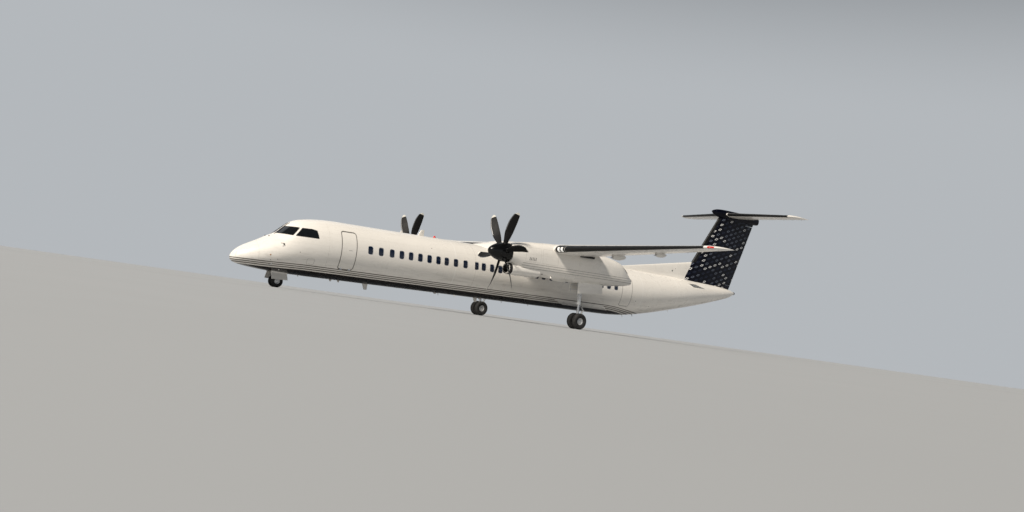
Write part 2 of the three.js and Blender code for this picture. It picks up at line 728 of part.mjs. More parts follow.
const saddle = loft(
  SADDLE.map(([s, breadth, top]) =>
    Array.from({ length: 16 }, (_, i) => {
      const angle = (Math.PI * i) / 15;
      return at(s, breadth * Math.cos(angle), SADDLE_BASE + (top - SADDLE_BASE) * Math.sin(angle) ** 0.6);
    }),
  ),
);
add('centre_fuselage', fuselageBody(FORWARD_SECTION_END + half, CENTRE_SECTION_END - half), WHITE_PAINT);
const holdStations = [CENTRE_SECTION_END - 50, 21300, 23300, HOLD.end];
const hold = loft(holdStations.map((s) => fuselageRing(s, -HOLD.wall, 16)));
const aftSection = fuselageBody(CENTRE_SECTION_END + half, AFT_SECTION_END - half);
add('aft_fuselage', aftSection.subtract(hold), WHITE_PAINT);
add('tail_cone', fuselageBody(AFT_SECTION_END + half, TAIL_END), WHITE_PAINT);
const fuselageRoom = fuselageBody(3000, TAIL_END, SEAT_GAP);

// Wing
const outerSteps = [WING.bend + half, 7800, 10500, 13560, 13860, 14080, 14210];
const flapPivot = (y) => onWing(y, FLAP.pivotFraction, -FLAP.pivotDrop * wingAt(y).chord);

// The two halves of a fairing, pinned together on the flap's pivot line
function hingedFairing(y, [y0, y1]) {
  const { tongue, cheekInside, cheekOutside, radius, pocket, pin } = FLAP_HINGE;
  const pivot = flapPivot(y);
  const line = new THREE.Vector3().subVectors(flapPivot(y1), flapPivot(y0)).normalize();
  const along = (distance) => pivot.clone().addScaledVector(line, distance);
  // A plate with a round end about the pivot line, its tail ahead of or behind it
  const eye = (from, to, tail) => loft([from, to].map((distance) => {
    const round = [-90, -45, 0, 45, 90].map((degrees) =>
      [-Math.sign(tail) * radius * Math.cos(radians(degrees)), radius * Math.sin(radians(degrees))]);
    return [...round, [tail, 0.8 * radius], [tail, -0.8 * radius]]
      .map(([x, z]) => along(distance).add(new THREE.Vector3(x, 0, z)));
  }));
  const front = joined(
    fairing(y, -2000, FAIRING_SPLIT.front).subtract(rod(along(-62), along(62), pocket, pocket, 8)),
    eye(-tongue, tongue, 90),
    rod(along(2 - cheekOutside), along(cheekOutside - 2), pin, pin, 8),
  );
  const rear = cut(
    joined(
      fairing(y, FAIRING_SPLIT.rear, 2000),
      eye(cheekInside, cheekOutside, -80),
      eye(-cheekOutside, -cheekInside, -80),
    ),
    rod(along(-cheekOutside - 5), along(cheekOutside + 5), pin + FLAP_HINGE.room, pin + FLAP_HINGE.room, 8),
  );
  return { front, rear };
}

function flap(wing, [y0, y1], fairings, clear) {
  const halves = fairings.map((y) => hingedFairing(y, [y0, y1]));
  return {
    moving: joined(wing.intersect(flapSpace(y0, y1, 0)), halves.map(({ rear }) => rear)),
    fixed: joined(
      wing.subtract(flapSpace(y0 - clear, y1 + clear, HINGE_GAP)),
      halves.map(({ front }) => front),
    ),
  };
}
const innerWing = wingBody([0, 3000, WING.bend - half]);
const innerFlap = flap(innerWing, FLAP.inner, FLAP_FAIRINGS.inner, 14);
add(
  'wing_centre',
  cut(joined(innerFlap.fixed, mirrored(innerFlap.fixed), saddle), fuselageRoom),
  WHITE_PAINT,
);
addPair('inner_flap', innerFlap.moving, WHITE_PAINT);

const outerWing = wingBody(outerSteps);
const outerFlap = flap(outerWing, FLAP.outer, FLAP_FAIRINGS.outer, 30);
const aileronLine = [AILERON.from, AILERON.to].map((y) => {
  const { chord, thickness } = wingAt(y);
  const rise = 4 * WING.camber * AILERON.hinge * (1 - AILERON.hinge) * chord;
  return { point: onWing(y, AILERON.hinge, rise), radius: sectionHalf(AILERON.hinge, thickness) * chord };
});
// A surface cut from a body about its hinge line, and the body left round it
function hinged(body, line, span, sideGap, aft, clip, pin = 0) {
  const [a, b] = line.map((end) => end.point);
  const [ra, rb] = line.map((end) => end.radius);
  const long = new THREE.Vector3().subVectors(b, a).multiplyScalar(0.35);
  const from = a.clone().sub(long);
  const to = b.clone().add(long);
  const radii = [ra - (rb - ra) * 0.35, rb + (rb - ra) * 0.35];
  const moving = body.intersect(hingedSpace(from, to, radii, aft, 0)).intersect(clip(span[0], span[1]));
  const room = clip(span[0] - sideGap, span[1] + sideGap);
  const space = hingedSpace(from, to, radii, aft, HINGE_GAP).intersect(room);
  const left = body.subtract(space);
  if (!pin) return { moving, fixed: left };
  const axis = new THREE.Vector3().subVectors(b, a).normalize();
  const ends = [[a, 1], [b, -1]].map(([point, inward]) => (radius, outside, inside) =>
    rod(
      point.clone().addScaledVector(axis, -inward * outside),
      point.clone().addScaledVector(axis, inward * inside),
      radius, radius, PIN_SIDES,
    ),
  );
  return {
    moving: cut(moving, ends.map((end) => end(pin + PIN_ROOM, 30, 4.4 * pin))),
    fixed: joined(left, ends.map((end) => end(pin, sideGap + 1.5 * pin, 4.2 * pin))),
  };
}
const ySlab = (y0, y1) => box([0, 40000], [y0, y1], [-4000, 9000]);
const wSlab = (w0, w1) => box([0, 40000], [-3000, 3000], [w0, w1]);
const aileron = hinged(outerFlap.fixed, aileronLine, [AILERON.from, AILERON.to], 16, AFT, ySlab, PINS.aileron);
addPair('outer_wing', aileron.fixed, WHITE_PAINT);
addPair('outer_flap', outerFlap.moving, WHITE_PAINT);
addPair('aileron', aileron.moving, WHITE_PAINT);

// Engine nacelles
const portAt = (s, w) => at(s, NACELLE_Y, w);
const wingRoom = wingBody(
  [3000, 3900, 4700, 5000, 6000],
  SEAT_GAP,
);
const nacelleRing = (row, allowance = 0) => squaredRing(row, NACELLE_Y, 20, allowance);
const engineRoom = box(
  [ENGINE.front - SEAT_GAP, ENGINE.rear + SEAT_GAP],
  [NACELLE_Y - ENGINE.half - SEAT_GAP, NACELLE_Y + ENGINE.half + SEAT_GAP],
  [ENGINE.bottom - SEAT_GAP, ENGINE.top + SEAT_GAP],
);
const nacelleShape = joined(
  loft(NACELLE.map((row) => nacelleRing(row))),
  loft(INTAKE.map((row) => nacelleRing(row))),
);
const intakeBore = loft([
  squaredRing([11500, 435 - INTAKE_LIP, -45 + INTAKE_LIP, 300 - INTAKE_LIP, 2.3], NACELLE_Y, 14),
  squaredRing([11800, 435 - INTAKE_LIP, -45 + INTAKE_LIP, 300 - INTAKE_LIP, 2.3], NACELLE_Y, 14),
  squaredRing([11640 + INTAKE_DEPTH, 400, 90, 200, 2.3], NACELLE_Y, 14),
]);
const shaftHole = rod(
  portAt(11500, PROPELLER.w), portAt(ENGINE.front + 5, PROPELLER.w),
  PROPELLER.shaftRadius, PROPELLER.shaftRadius, 32,
);
const exhaustBore = rod(portAt(EXHAUST.from, EXHAUST.w), portAt(19600, EXHAUST.w + 140), EXHAUST.radius);
const mainWell = box(
  MAIN_GEAR.well, [NACELLE_Y - MAIN_GEAR.wellHalf, NACELLE_Y + MAIN_GEAR.wellHalf], [-400, MAIN_GEAR.roof],
);
addPair(
  'nacelle',
  cut(nacelleShape, engineRoom, shaftHole, intakeBore, exhaustBore, mainWell, wingRoom),
  WHITE_PAINT,
);
addPair(
  'engine',
  box(
    [ENGINE.front, ENGINE.rear],
    [NACELLE_Y - ENGINE.half, NACELLE_Y + ENGINE.half],
    [ENGINE.bottom, ENGINE.top],
  ),
  CAST_METAL,
);

// Propellers
const discCentre = portAt(PROPELLER.disc, PROPELLER.w);
function bladeBody(angle) {
  const out = new THREE.Vector3(0, Math.cos(angle), Math.sin(angle));
  const turnward = new THREE.Vector3(0, -Math.sin(angle), Math.cos(angle));
  const outline = [[-0.5, 0], [-0.2, 0.5], [0.2, 0.4], [0.5, 0], [0.2, -0.32], [-0.2, -0.42]];
  return loft(
    BLADE.map(([radius, chord, thick, pitch, sweep]) => {
      const twist = radians(pitch);
      const edge = turnward.clone().multiplyScalar(Math.cos(twist)).addScaledVector(FORWARD, Math.sin(twist));
      const face = turnward.clone().multiplyScalar(-Math.sin(twist)).addScaledVector(FORWARD, Math.cos(twist));
      return outline.map(([a, b]) =>
        discCentre.clone().addScaledVector(out, radius)
          .addScaledVector(turnward, sweep)
          .addScaledVector(edge, -a * chord)
          .addScaledVector(face, b * thick),
      );
    }),
  );
}
const bladeAngles = Array.from({ length: PROPELLER.blades }, (_, i) =>
  radians(PROPELLER.firstBlade + (360 / PROPELLER.blades) * i),
);
const backPlate = 270; // from the disc to the spinner's back plate
const hubBack = SEAT_GAP - backPlate;
const hub = turned(
  [
    [0, 160], [PROPELLER.hubRadius - 30, 160], [PROPELLER.hubRadius, 120],
    [PROPELLER.hubRadius, hubBack], [0, hubBack],
  ],
  18, discCentre, FORWARD,
);
const shaft = rod(
  discCentre, portAt(ENGINE.front - 1, PROPELLER.w), PROPELLER.shaftRadius - 1, PROPELLER.shaftRadius - 1, 32,
);
// Both propellers turn the same way, so the starboard one is the same shape moved across
const addBoth = (name, solid, material) => {
  add(`port_${name}`, solid, material);
  const { positions, index } = meshOf(solid);
  const across = positions.map((value, i) => (i % 3 === 1 ? value - 2 * NACELLE_Y : value));
  add(`starboard_${name}`, solidFrom(across, index), material);
};
addBoth('propeller_blades', joined(hub, shaft, bladeAngles.map(bladeBody)), BLACK_PAINT);

// Spinner: a shell over the hub, with a round hole for each blade's root
const SPINNER_SHAPE = [[0, 0], [0.1, 0.36], [0.3, 0.62], [0.6, 0.86], [1, 1]];
const noseLength = PROPELLER.disc + 60 - PROPELLER.spinnerTip;
const spinnerOuter = SPINNER_SHAPE.slice(1).map(([t, r]) => [
  PROPELLER.spinnerRadius * r, PROPELLER.disc - (PROPELLER.spinnerTip + noseLength * t),
]);
const spinnerSkin = turned(
  [
    [0, PROPELLER.disc - PROPELLER.spinnerTip],
    [PROPELLER.spinnerRadius * 0.16, PROPELLER.disc - PROPELLER.spinnerTip - 14],
    ...spinnerOuter,
    [PROPELLER.spinnerRadius, PROPELLER.disc - PROPELLER.spinnerBack],
    [PROPELLER.shaftRadius + 30, PROPELLER.disc - PROPELLER.spinnerBack],
    [PROPELLER.shaftRadius + 30, -backPlate],
    [PROPELLER.spinnerRadius - 35, -backPlate],
    [PROPELLER.spinnerRadius - 35, 0],
    [PROPELLER.hubRadius + 20, 360],
    [0, 440],
  ],
  18, discCentre, FORWARD,
);
const bladeHoles = bladeAngles.map((angle) => {
  const out = new THREE.Vector3(0, Math.cos(angle), Math.sin(angle));
  const outAt = (radius) => discCentre.clone().addScaledVector(out, radius);
  return rod(outAt(300), outAt(500), 124, 124, 8);
});
addBoth('spinner', cut(spinnerSkin, bladeHoles), BLACK_PAINT);

// T-tail
const finAt = (w) => {
  const t = (w - FIN.base.w) / (FIN.top.w - FIN.base.w);
  const le = lerp(FIN.base.le, FIN.top.le, t);
  return { le, chord: lerp(FIN.base.te, FIN.top.te, t) - le };
};
const finRing = (w, allowance = 0) => {
  const { le, chord } = finAt(w);
  return section(chord, FIN.thickness, 0, allowance).map(([x, y]) => at(le + x, y, w));
};
const bulletBody = (allowance) => loft(BULLET.map((row) => squaredRing(row, 0, 14, allowance)));
const finLine = (share) => [FIN.rudderFoot, FIN.rudderHead].map((w) => {
  const { le, chord } = finAt(w);
  const radius = sectionHalf(share, FIN.thickness) * chord * FIN.noseRound;
  return { point: at(le + chord * share, 0, w), radius };
});
const wholeFin = loft([FIN.base.w, 2500, 4000, FIN.top.w].map((w) => finRing(w)));
const rudder = hinged(
  wholeFin, finLine(FIN.rudderHinge), [FIN.rudderFoot, FIN.rudderHead], 30, AFT, wSlab, PINS.rudder,
);
const tabSpan = [FIN.rudderFoot + 2, FIN.rudderHead - 2];
const tab = hinged(rudder.moving, finLine(FIN.tabHinge), tabSpan, 40, AFT, wSlab);
const clearOfBullet = loft(BULLET.map((row) => squaredRing(row, 0, 14, SEAT_GAP)));
add('fin', cut(rudder.fixed, fuselageRoom, clearOfBullet), NAVY_PAINT);

// Trailing rudder's brackets: a lug on the fore rudder in a slot of the trailing rudder, with a pin
let foreRudder = tab.fixed;
let trailingRudder = tab.moving;
const [tabFoot, tabHead] = finLine(FIN.tabHinge).map(({ point }) => point);
const tabAxis = new THREE.Vector3().subVectors(tabHead, tabFoot).normalize();
const tabForward = FORWARD.clone().addScaledVector(tabAxis, -FORWARD.dot(tabAxis)).normalize();
for (const w of TAB_HINGES) {
  const middle = tabFoot.clone().lerp(tabHead, (w - tabFoot.z) / (tabHead.z - tabFoot.z));
  const up = (distance) => middle.clone().addScaledVector(tabAxis, distance);
  const slab = (thick, reach, across) => {
    const corners = [[0, across], [reach, across], [reach, -across], [0, -across]];
    return loft([-thick, thick].map((distance) => corners.map(([ahead, y]) =>
      up(distance).addScaledVector(tabForward, ahead).addScaledVector(PORT, y))));
  };
  trailingRudder = cut(
    trailingRudder, slab(20, 160, 160), rod(up(-20), up(20), 40, 40, 8),
    rod(up(-58), up(58), PINS.tab + PIN_ROOM, PINS.tab + PIN_ROOM, PIN_SIDES),
  );
  foreRudder = joined(
    foreRudder, slab(14, 130, 20), rod(up(-14), up(14), 28, 28, 8),
    rod(up(-54), up(54), PINS.tab, PINS.tab, PIN_SIDES),
  );
}
add('fore_rudder', foreRudder, NAVY_PAINT);
add('trailing_rudder', trailingRudder, NAVY_PAINT);

const finRoom = loft([FIN.base.w - 200, FIN.top.w].map((w) => finRing(w, SEAT_GAP)));
const dorsalRing = (s) => {
  const t = (s - DORSAL.from) / (DORSAL.to - DORSAL.from);
  const top = lerp(BARREL_RADIUS - 12, DORSAL.top, t);
  const foot = 1150;
  const breadth = lerp(30, DORSAL.half, Math.min(1, t * 1.2));
  const shape = [
    [1.6, 0], [1.05, 0.25], [0.85, 0.6], [0.5, 0.9], [0, 1],
    [-0.5, 0.9], [-0.85, 0.6], [-1.05, 0.25], [-1.6, 0],
  ];
  return shape.map(([y, h]) => at(s, y * breadth, lerp(foot, top, h)));
};
add(
  'dorsal_fin',
  cut(loft([DORSAL.from, 22900, 24300, 26000, DORSAL.to].map(dorsalRing)), fuselageRoom, finRoom),
  WHITE_PAINT,
);

const tailAt = (y) => {
  const { root, tip, tipRib } = TAILPLANE;
  const d = Math.abs(y);
  if (d > tipRib) {
    const [, le, te, thickness] = rowAt(TAILPLANE_TIP, d);
    return { le, chord: te - le, thickness };
  }
  const le = lerp(root.s, tip.s, d / tipRib);
  return { le, chord: lerp(root.te, tip.te, d / tipRib) - le, thickness: TAILPLANE.thickness };
};
const tailRing = (y, allowance = 0) => {
  const { le, chord, thickness } = tailAt(y);
  return section(chord, thickness, 0, allowance).map(([x, z]) => at(le + x, y, TAILPLANE.w + z));
};
const tailTips = [4290, 4470, 4580, 4635];
const portTailplane = loft([0, ...tailTips].map((y) => tailRing(y)));
const elevatorSpan = [TAILPLANE.elevatorFrom - 75, 4240];
const elevatorLine = elevatorSpan.map((y) => {
  const { le, chord, thickness } = tailAt(y);
  return {
    point: at(le + chord * TAILPLANE.hinge, y, TAILPLANE.w),
    radius: sectionHalf(TAILPLANE.hinge, thickness) * chord,
  };
});
const portElevator = hinged(portTailplane, elevatorLine, elevatorSpan, 16, AFT, ySlab, PINS.elevator);
add('tailplane', joined(portElevator.fixed, mirrored(portElevator.fixed)), WHITE_PAINT);
addPair('elevator', portElevator.moving, WHITE_PAINT);
const tailRoom = loft([-600, 0, 600].map((y) => tailRing(y, SEAT_GAP)));
add('bullet_fairing', bulletBody(0).subtract(tailRoom), NAVY_PAINT);

// Landing gear
// The height in the airframe's axes of a point at a height above the ground
const groundToAxis = (s, z) => (z - AXIS_HEIGHT_AT_NOSE - s * Math.sin(NOSE_DOWN)) / Math.cos(NOSE_DOWN);

// The angle that sets one flat of a wheel level on the ground
const flatDown = (sides) => Math.PI / sides - NOSE_DOWN;

// Tyre: half its outline from the bead to the crown, mirrored about its middle. The middle of
// each flat lies on the tyre's circle
function tyre({ tyreRadius, tyreHalf: h, seat: bead, sides }, centre) {
  const r = tyreRadius / Math.cos(Math.PI / sides);
  const side = [
    [bead + SEAT_GAP, h * 0.66], [bead + 0.22 * (r - bead), h * 0.86], [bead + 0.55 * (r - bead), h],
    [bead + 0.86 * (r - bead), h * 0.84], [r, h * 0.36],
  ];
  const other = side.map(([radius, along]) => [radius, -along]).reverse();
  return turned([...side, ...other], sides, centre, PORT, flatDown(sides));
}

// Two dished rims on one axle, turned as one shape
function rims({ seat: bead, tyreHalf: h, twin, axle, sides }, centre) {
  const end = [
    [0, twin + h * 0.42], [axle, twin + h * 0.42], [axle, twin + h * 0.2], [bead * 0.6, twin + h * 0.1],
    [bead * 0.84, twin + h * 0.58], [bead, twin + h * 0.58], [bead, twin - h * 0.6], [axle, twin - h * 0.5],
  ];
  const other = end.map(([radius, along]) => [radius, -along]).reverse();
  return turned([...end, ...other], sides, centre, PORT, flatDown(sides));
}

const mainW = groundToAxis(MAIN_GEAR.s, MAIN_GEAR.tyreRadius);
const mainHub = portAt(MAIN_GEAR.s, mainW);
addPair('main_wheel_rims', rims(MAIN_GEAR, mainHub), BARE_STEEL);
const mainTyre = (offset) => tyre(MAIN_GEAR, mainHub.clone().addScaledVector(PORT, offset));
addPair('outboard_main_tyre', mainTyre(MAIN_GEAR.twin), TYRE_RUBBER);
addPair('inboard_main_tyre', mainTyre(-MAIN_GEAR.twin), TYRE_RUBBER);

// Leg: a wide upper strut, a thin piston, a hub with the axle's bore, and links behind
const legTop = MAIN_GEAR.roof - SEAT_GAP;
const mainLeg = cut(
  joined(
    rod(portAt(MAIN_GEAR.s, legTop), portAt(MAIN_GEAR.s, -1020), MAIN_GEAR.strut, MAIN_GEAR.strut, 18),
    rod(portAt(MAIN_GEAR.s, -1050), portAt(MAIN_GEAR.s, -960), MAIN_GEAR.strut + 14, MAIN_GEAR.strut + 14, 18),
    rod(portAt(MAIN_GEAR.s, -1000), mainHub, MAIN_GEAR.piston, MAIN_GEAR.piston, 18),
    rod(at(MAIN_GEAR.s, NACELLE_Y - 290, 330), at(MAIN_GEAR.s, NACELLE_Y + 290, 330), 58),
    rod(at(MAIN_GEAR.s, NACELLE_Y - 76, mainW), at(MAIN_GEAR.s, NACELLE_Y + 76, mainW), 84),
    bar(portAt(MAIN_GEAR.s + 60, -1010), portAt(MAIN_GEAR.s + 330, -1330), 110, 34),
    bar(portAt(MAIN_GEAR.s + 330, -1320), portAt(MAIN_GEAR.s + 40, mainW + 60), 110, 34),
    rod(at(MAIN_GEAR.s + 326, NACELLE_Y - 62, -1325), at(MAIN_GEAR.s + 326, NACELLE_Y + 62, -1325), 30, 30, 12),
    rod(at(MAIN_GEAR.s - 60, NACELLE_Y - 70, -640), at(MAIN_GEAR.s - 60, NACELLE_Y + 70, -640), 62, 62, 10),
  ),
  rod(
    at(MAIN_GEAR.s, NACELLE_Y - 200, mainW), at(MAIN_GEAR.s, NACELLE_Y + 200, mainW),
    MAIN_GEAR.axle + BORE_ROOM, MAIN_GEAR.axle + BORE_ROOM, MAIN_GEAR.sides,
  ),
);
addPair('main_gear_leg', mainLeg, GREY_PAINT);

// Drag brace: from the leg forward to the well's roof
const braceFoot = portAt(MAIN_GEAR.s - 60, -640);
const braceHead = portAt(MAIN_GEAR.well[0] + 150, MAIN_GEAR.roof + 40);
const legRoom = joined(
  rod(
    portAt(MAIN_GEAR.s, 700), portAt(MAIN_GEAR.s, -1100),
    MAIN_GEAR.strut + SEAT_GAP, MAIN_GEAR.strut + SEAT_GAP, 18,
  ),
  rod(
    at(MAIN_GEAR.s - 60, NACELLE_Y - 70 - SEAT_GAP, -640), at(MAIN_GEAR.s - 60, NACELLE_Y + 70 + SEAT_GAP, -640),
    62 + SEAT_GAP, 62 + SEAT_GAP, 10,
  ),
);
addPair(
  'drag_brace',
  cut(
    joined(rod(braceFoot, braceHead, 42, 42, 12), rod(
      at(MAIN_GEAR.well[0] + 160, NACELLE_Y - 200, MAIN_GEAR.roof - 46),
      at(MAIN_GEAR.well[0] + 160, NACELLE_Y + 200, MAIN_GEAR.roof - 46), 40, 40, 12,
    )),
    legRoom,
    box([15000, 17000], [3000, 6000], [MAIN_GEAR.roof - SEAT_GAP, 2000]),
  ),
  GREY_PAINT,
);

// Main gear doors, hanging from the well's sides
const [wellFront, wellRear] = MAIN_GEAR.well;
const mainDoor = (side) => {
  const wall = MAIN_GEAR.wellHalf - SEAT_GAP;
  const [inner, outer] = [wall - 22, wall];
  const lean = 55;
  return loft([wellFront + 12, wellRear - 12].map((s, end) => {
    const drop = end ? 380 : 520;
    const y = (d) => NACELLE_Y + side * d;
    return [
      at(s, y(inner), 60), at(s, y(outer), 60), at(s, y(outer), -40),
      at(s, y(outer + lean), -drop), at(s, y(inner + lean), -drop), at(s, y(inner), -40),
    ];
  }));
};
for (const [name, side] of [['outboard', 1], ['inboard', -1]]) {
  addPair(`${name}_main_gear_door`, mainDoor(side).subtract(loft(NACELLE.map((row) => nacelleRing(row)))
    .subtract(box(
      [wellFront, wellRear],
      [NACELLE_Y - MAIN_GEAR.wellHalf + SEAT_GAP, NACELLE_Y + MAIN_GEAR.wellHalf - SEAT_GAP],
      [-400, MAIN_GEAR.roof],
    ))
  ), WHITE_PAINT);
}

// Nose gear: a fixed strut with a bore, the steered piston in it, and the wheels on the piston's hub
const noseW = groundToAxis(NOSE_GEAR.s, NOSE_GEAR.tyreRadius);
const noseAt = (s, w) => at(s, 0, w);
const noseHub = noseAt(NOSE_GEAR.s, noseW);
const collar = -1400;
const noseLeg = cut(
  joined(
    rod(
      noseAt(NOSE_GEAR.s, NOSE_GEAR.roof - SEAT_GAP), noseAt(NOSE_GEAR.s, collar),
      NOSE_GEAR.strut, NOSE_GEAR.strut, 20,
    ),
    rod(at(NOSE_GEAR.s, -250, -960), at(NOSE_GEAR.s, 250, -960), 40),
    rod(noseAt(NOSE_GEAR.s, -1320), noseAt(2500, -905), 26, 26, 12),
    rod(at(2490, -200, -912), at(2490, 200, -912), 24, 24, 12),
  ),
  rod(
    noseAt(NOSE_GEAR.s, collar - 10), noseAt(NOSE_GEAR.s, -1150),
    NOSE_GEAR.piston + BORE_ROOM, NOSE_GEAR.piston + BORE_ROOM, 20,
  ),
);
add('nose_gear_leg', noseLeg, GREY_PAINT);
add(
  'nose_steering_piston',
  cut(
    joined(
      rod(noseAt(NOSE_GEAR.s, -1160), noseHub, NOSE_GEAR.piston, NOSE_GEAR.piston, 20),
      rod(
        noseAt(NOSE_GEAR.s, collar - 8), noseAt(NOSE_GEAR.s, collar - 60),
        NOSE_GEAR.strut + 8, NOSE_GEAR.strut + 8, 20,
      ),
      rod(at(NOSE_GEAR.s, -56, noseW), at(NOSE_GEAR.s, 56, noseW), 58),
    ),
    rod(
      at(NOSE_GEAR.s, -150, noseW), at(NOSE_GEAR.s, 150, noseW),
      NOSE_GEAR.axle + BORE_ROOM, NOSE_GEAR.axle + BORE_ROOM, NOSE_GEAR.sides,
    ),
  ),
  BARE_STEEL,
);
add('nose_wheel_rims', rims(NOSE_GEAR, noseHub), BARE_STEEL);
for (const [name, side] of [['port', 1], ['starboard', -1]]) {
  const hub = noseHub.clone().addScaledVector(PORT, side * NOSE_GEAR.twin);
  add(`${name}_nose_tyre`, tyre(NOSE_GEAR, hub), TYRE_RUBBER);
}
const noseDoorWall = NOSE_GEAR.wellHalf - 120 - SEAT_GAP;
const noseDoor = loft([NOSE_GEAR.well[0] + 10, NOSE_GEAR.well[1] - 10].map((s) => [
  at(s, noseDoorWall - 18, -1240), at(s, noseDoorWall, -1240), at(s, noseDoorWall, -1345),
  at(s, noseDoorWall + 150, -1620), at(s, noseDoorWall + 132, -1628), at(s, noseDoorWall - 18, -1352),
]));
addPair('nose_gear_door', noseDoor, WHITE_PAINT);

// The whole, set on its wheels
export const airliner = new THREE.Group();
airliner.name = 'turboprop_airliner';
const airframe = new THREE.Group();
airframe.name = 'airframe';
for (const { name, geometry, material } of pieces) {
  const mesh = new THREE.Mesh(geometry, material.clone());
  mesh.name = name;
  airframe.add(mesh);
}
airframe.rotation.y = NOSE_DOWN;
airframe.position.set(NOSE_TO_CENTRE, 0, AXIS_HEIGHT_AT_NOSE);
airliner.add(airframe);
airliner.updateMatrixWorld(true);
export default airliner;
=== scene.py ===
import math
from bisect import bisect_right

import bmesh
import bpy
from mathutils import Matrix, Vector


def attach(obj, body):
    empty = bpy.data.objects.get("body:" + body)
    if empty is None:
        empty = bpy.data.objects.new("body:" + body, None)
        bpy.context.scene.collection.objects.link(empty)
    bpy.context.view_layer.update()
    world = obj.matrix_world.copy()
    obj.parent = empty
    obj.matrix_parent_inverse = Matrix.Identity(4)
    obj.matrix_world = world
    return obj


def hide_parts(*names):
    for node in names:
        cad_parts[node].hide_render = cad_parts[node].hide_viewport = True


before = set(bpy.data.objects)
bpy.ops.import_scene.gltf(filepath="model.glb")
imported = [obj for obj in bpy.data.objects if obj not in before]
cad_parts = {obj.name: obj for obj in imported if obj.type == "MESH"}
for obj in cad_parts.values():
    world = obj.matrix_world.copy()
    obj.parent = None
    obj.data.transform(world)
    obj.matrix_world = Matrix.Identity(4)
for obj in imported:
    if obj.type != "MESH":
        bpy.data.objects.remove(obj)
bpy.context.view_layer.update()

# Everything is drawn in the airframe's own axes, in metres: a station s aft of the nose, a distance y
# to port and a height w above the fuselage axis. The stand sets that nose-down on the wheels.
NOSE_DOWN = math.radians(1.1)
AXIS_HEIGHT_AT_NOSE = 1.950
NOSE_TO_CENTRE = 16.432
STAND = Matrix.Translation((NOSE_TO_CENTRE, 0, AXIS_HEIGHT_AT_NOSE)) @ Matrix.Rotation(NOSE_DOWN, 4, "Y")
SEAM = 0.0015  # half the gap between two skin sections
ROD_EDGE = 0.12  # share of its radius by which a rod's ends are rounded
SHARP_CORNER = 32  # degrees between faces that leave a sharp edge

FORWARD = Vector((1, 0, 0))
AFT = Vector((-1, 0, 0))
PORT = Vector((0, 1, 0))
UP = Vector((0, 0, 1))

# Fuselage
BARREL_RADIUS = 1.345
FUSELAGE_SIDES = 128
WALL = 0.090
NOSE_POINT = 0.0008
RADOME_END = 1.000
NOSE_SECTION_END = 4.050
FORWARD_SECTION_END = 11.900
CENTRE_SECTION_END = 18.900
AFT_SECTION_END = 30.300
TAIL_END = 31.640
CABIN_FLOOR = -0.738

# Columns: station, top, bottom, half breadth, height of the greatest breadth
FUSELAGE = [
    [0, -0.890, -0.890, 0, -0.890],
    [0.170, -0.565, -1.100, 0.330, -0.845],
    [0.350, -0.410, -1.150, 0.485, -0.800],
    [0.550, -0.280, -1.185, 0.610, -0.750],
    [0.910, -0.090, -1.230, 0.780, -0.670],
    [1.290, 0.105, -1.265, 0.925, -0.580],
    [1.560, 0.265, -1.285, 1.005, -0.520],
    [1.880, 0.430, -1.305, 1.085, -0.450],
    [2.300, 0.800, -1.325, 1.165, -0.320],
    [2.590, 1.030, -1.333, 1.210, -0.220],
    [2.950, 1.170, -1.338, 1.255, -0.130],
    [3.830, 1.305, -1.345, 1.325, -0.025],
    [4.660, 1.345, -1.345, 1.345, 0],
    [21.300, 1.345, -1.345, 1.345, 0],
    [22.600, 1.342, -1.285, 1.326, 0.020],
    [23.300, 1.335, -1.200, 1.297, 0.050],
    [24.020, 1.325, -1.085, 1.255, 0.085],
    [25.540, 1.300, -0.790, 1.125, 0.190],
    [27.110, 1.268, -0.450, 0.940, 0.370],
    [28.710, 1.230, -0.080, 0.705, 0.560],
    [30.050, 1.165, 0.270, 0.490, 0.710],
    [31.100, 1.065, 0.575, 0.280, 0.820],
    [31.640, 0.930, 0.830, 0.055, 0.880],
]

# Cabin windows, alike on both sides
CABIN_WINDOWS = [
    6.12, 6.67, 7.25, 7.77, 8.27, 8.78, 9.29, 9.79, 10.26, 10.79, 11.35, 12.00, 12.43, 12.93, 13.43,
    14.37, 14.99, 15.71, 16.16, 16.66, 17.17, 17.67, 18.15, 18.60, 19.15, 19.61, 20.10, 20.61, 21.12,
]
WINDOW = {"length": 0.27, "height": 0.41, "w": 0.22, "corner": 0.105, "depth": 0.016, "rim": 0.018}

DOOR = {
    "front": 4.670, "rear": 5.400, "sill": -0.800, "head": 0.905, "gap": 0.006, "thick": 0.085, "corner": 0.11
}
DOOR_HINGE = {"s": (4.820, 5.250), "y": 1.098, "w": -0.822, "radius": 0.014}
DOOR_STEPS = (-0.52, -0.27, -0.02, 0.23, 0.48)
DOOR_RAIL_RADIUS = 1.17
DOOR_HANDLE = ((5.02, 5.20), (1.336, 1.3435), (0.03, 0.075))
VESTIBULE = {"front": 4.160, "rear": 5.990, "head": 1.160}
AISLE_DOOR = {"half": 0.300, "head": 1.020}

# Flight deck
DECK = {"front": 1.700, "rear": 3.950, "floor": -0.560, "wall": 0.095}
GLASS = {"inset": 0.008, "thick": 0.032, "seal": 0.020, "corner": 0.025}
SEAL = {"inset": 0.002, "thick": 0.030, "play": 0.001, "corner": 0.035}
WINDSCREEN = [(1.850, 0.425), (2.275, 0.800), (2.752, 0.800), (2.400, 0.392)]
SIDE_WINDOW = [(2.478, 0.388), (2.835, 0.795), (3.260, 0.805), (3.490, 0.765), (3.562, 0.392)]
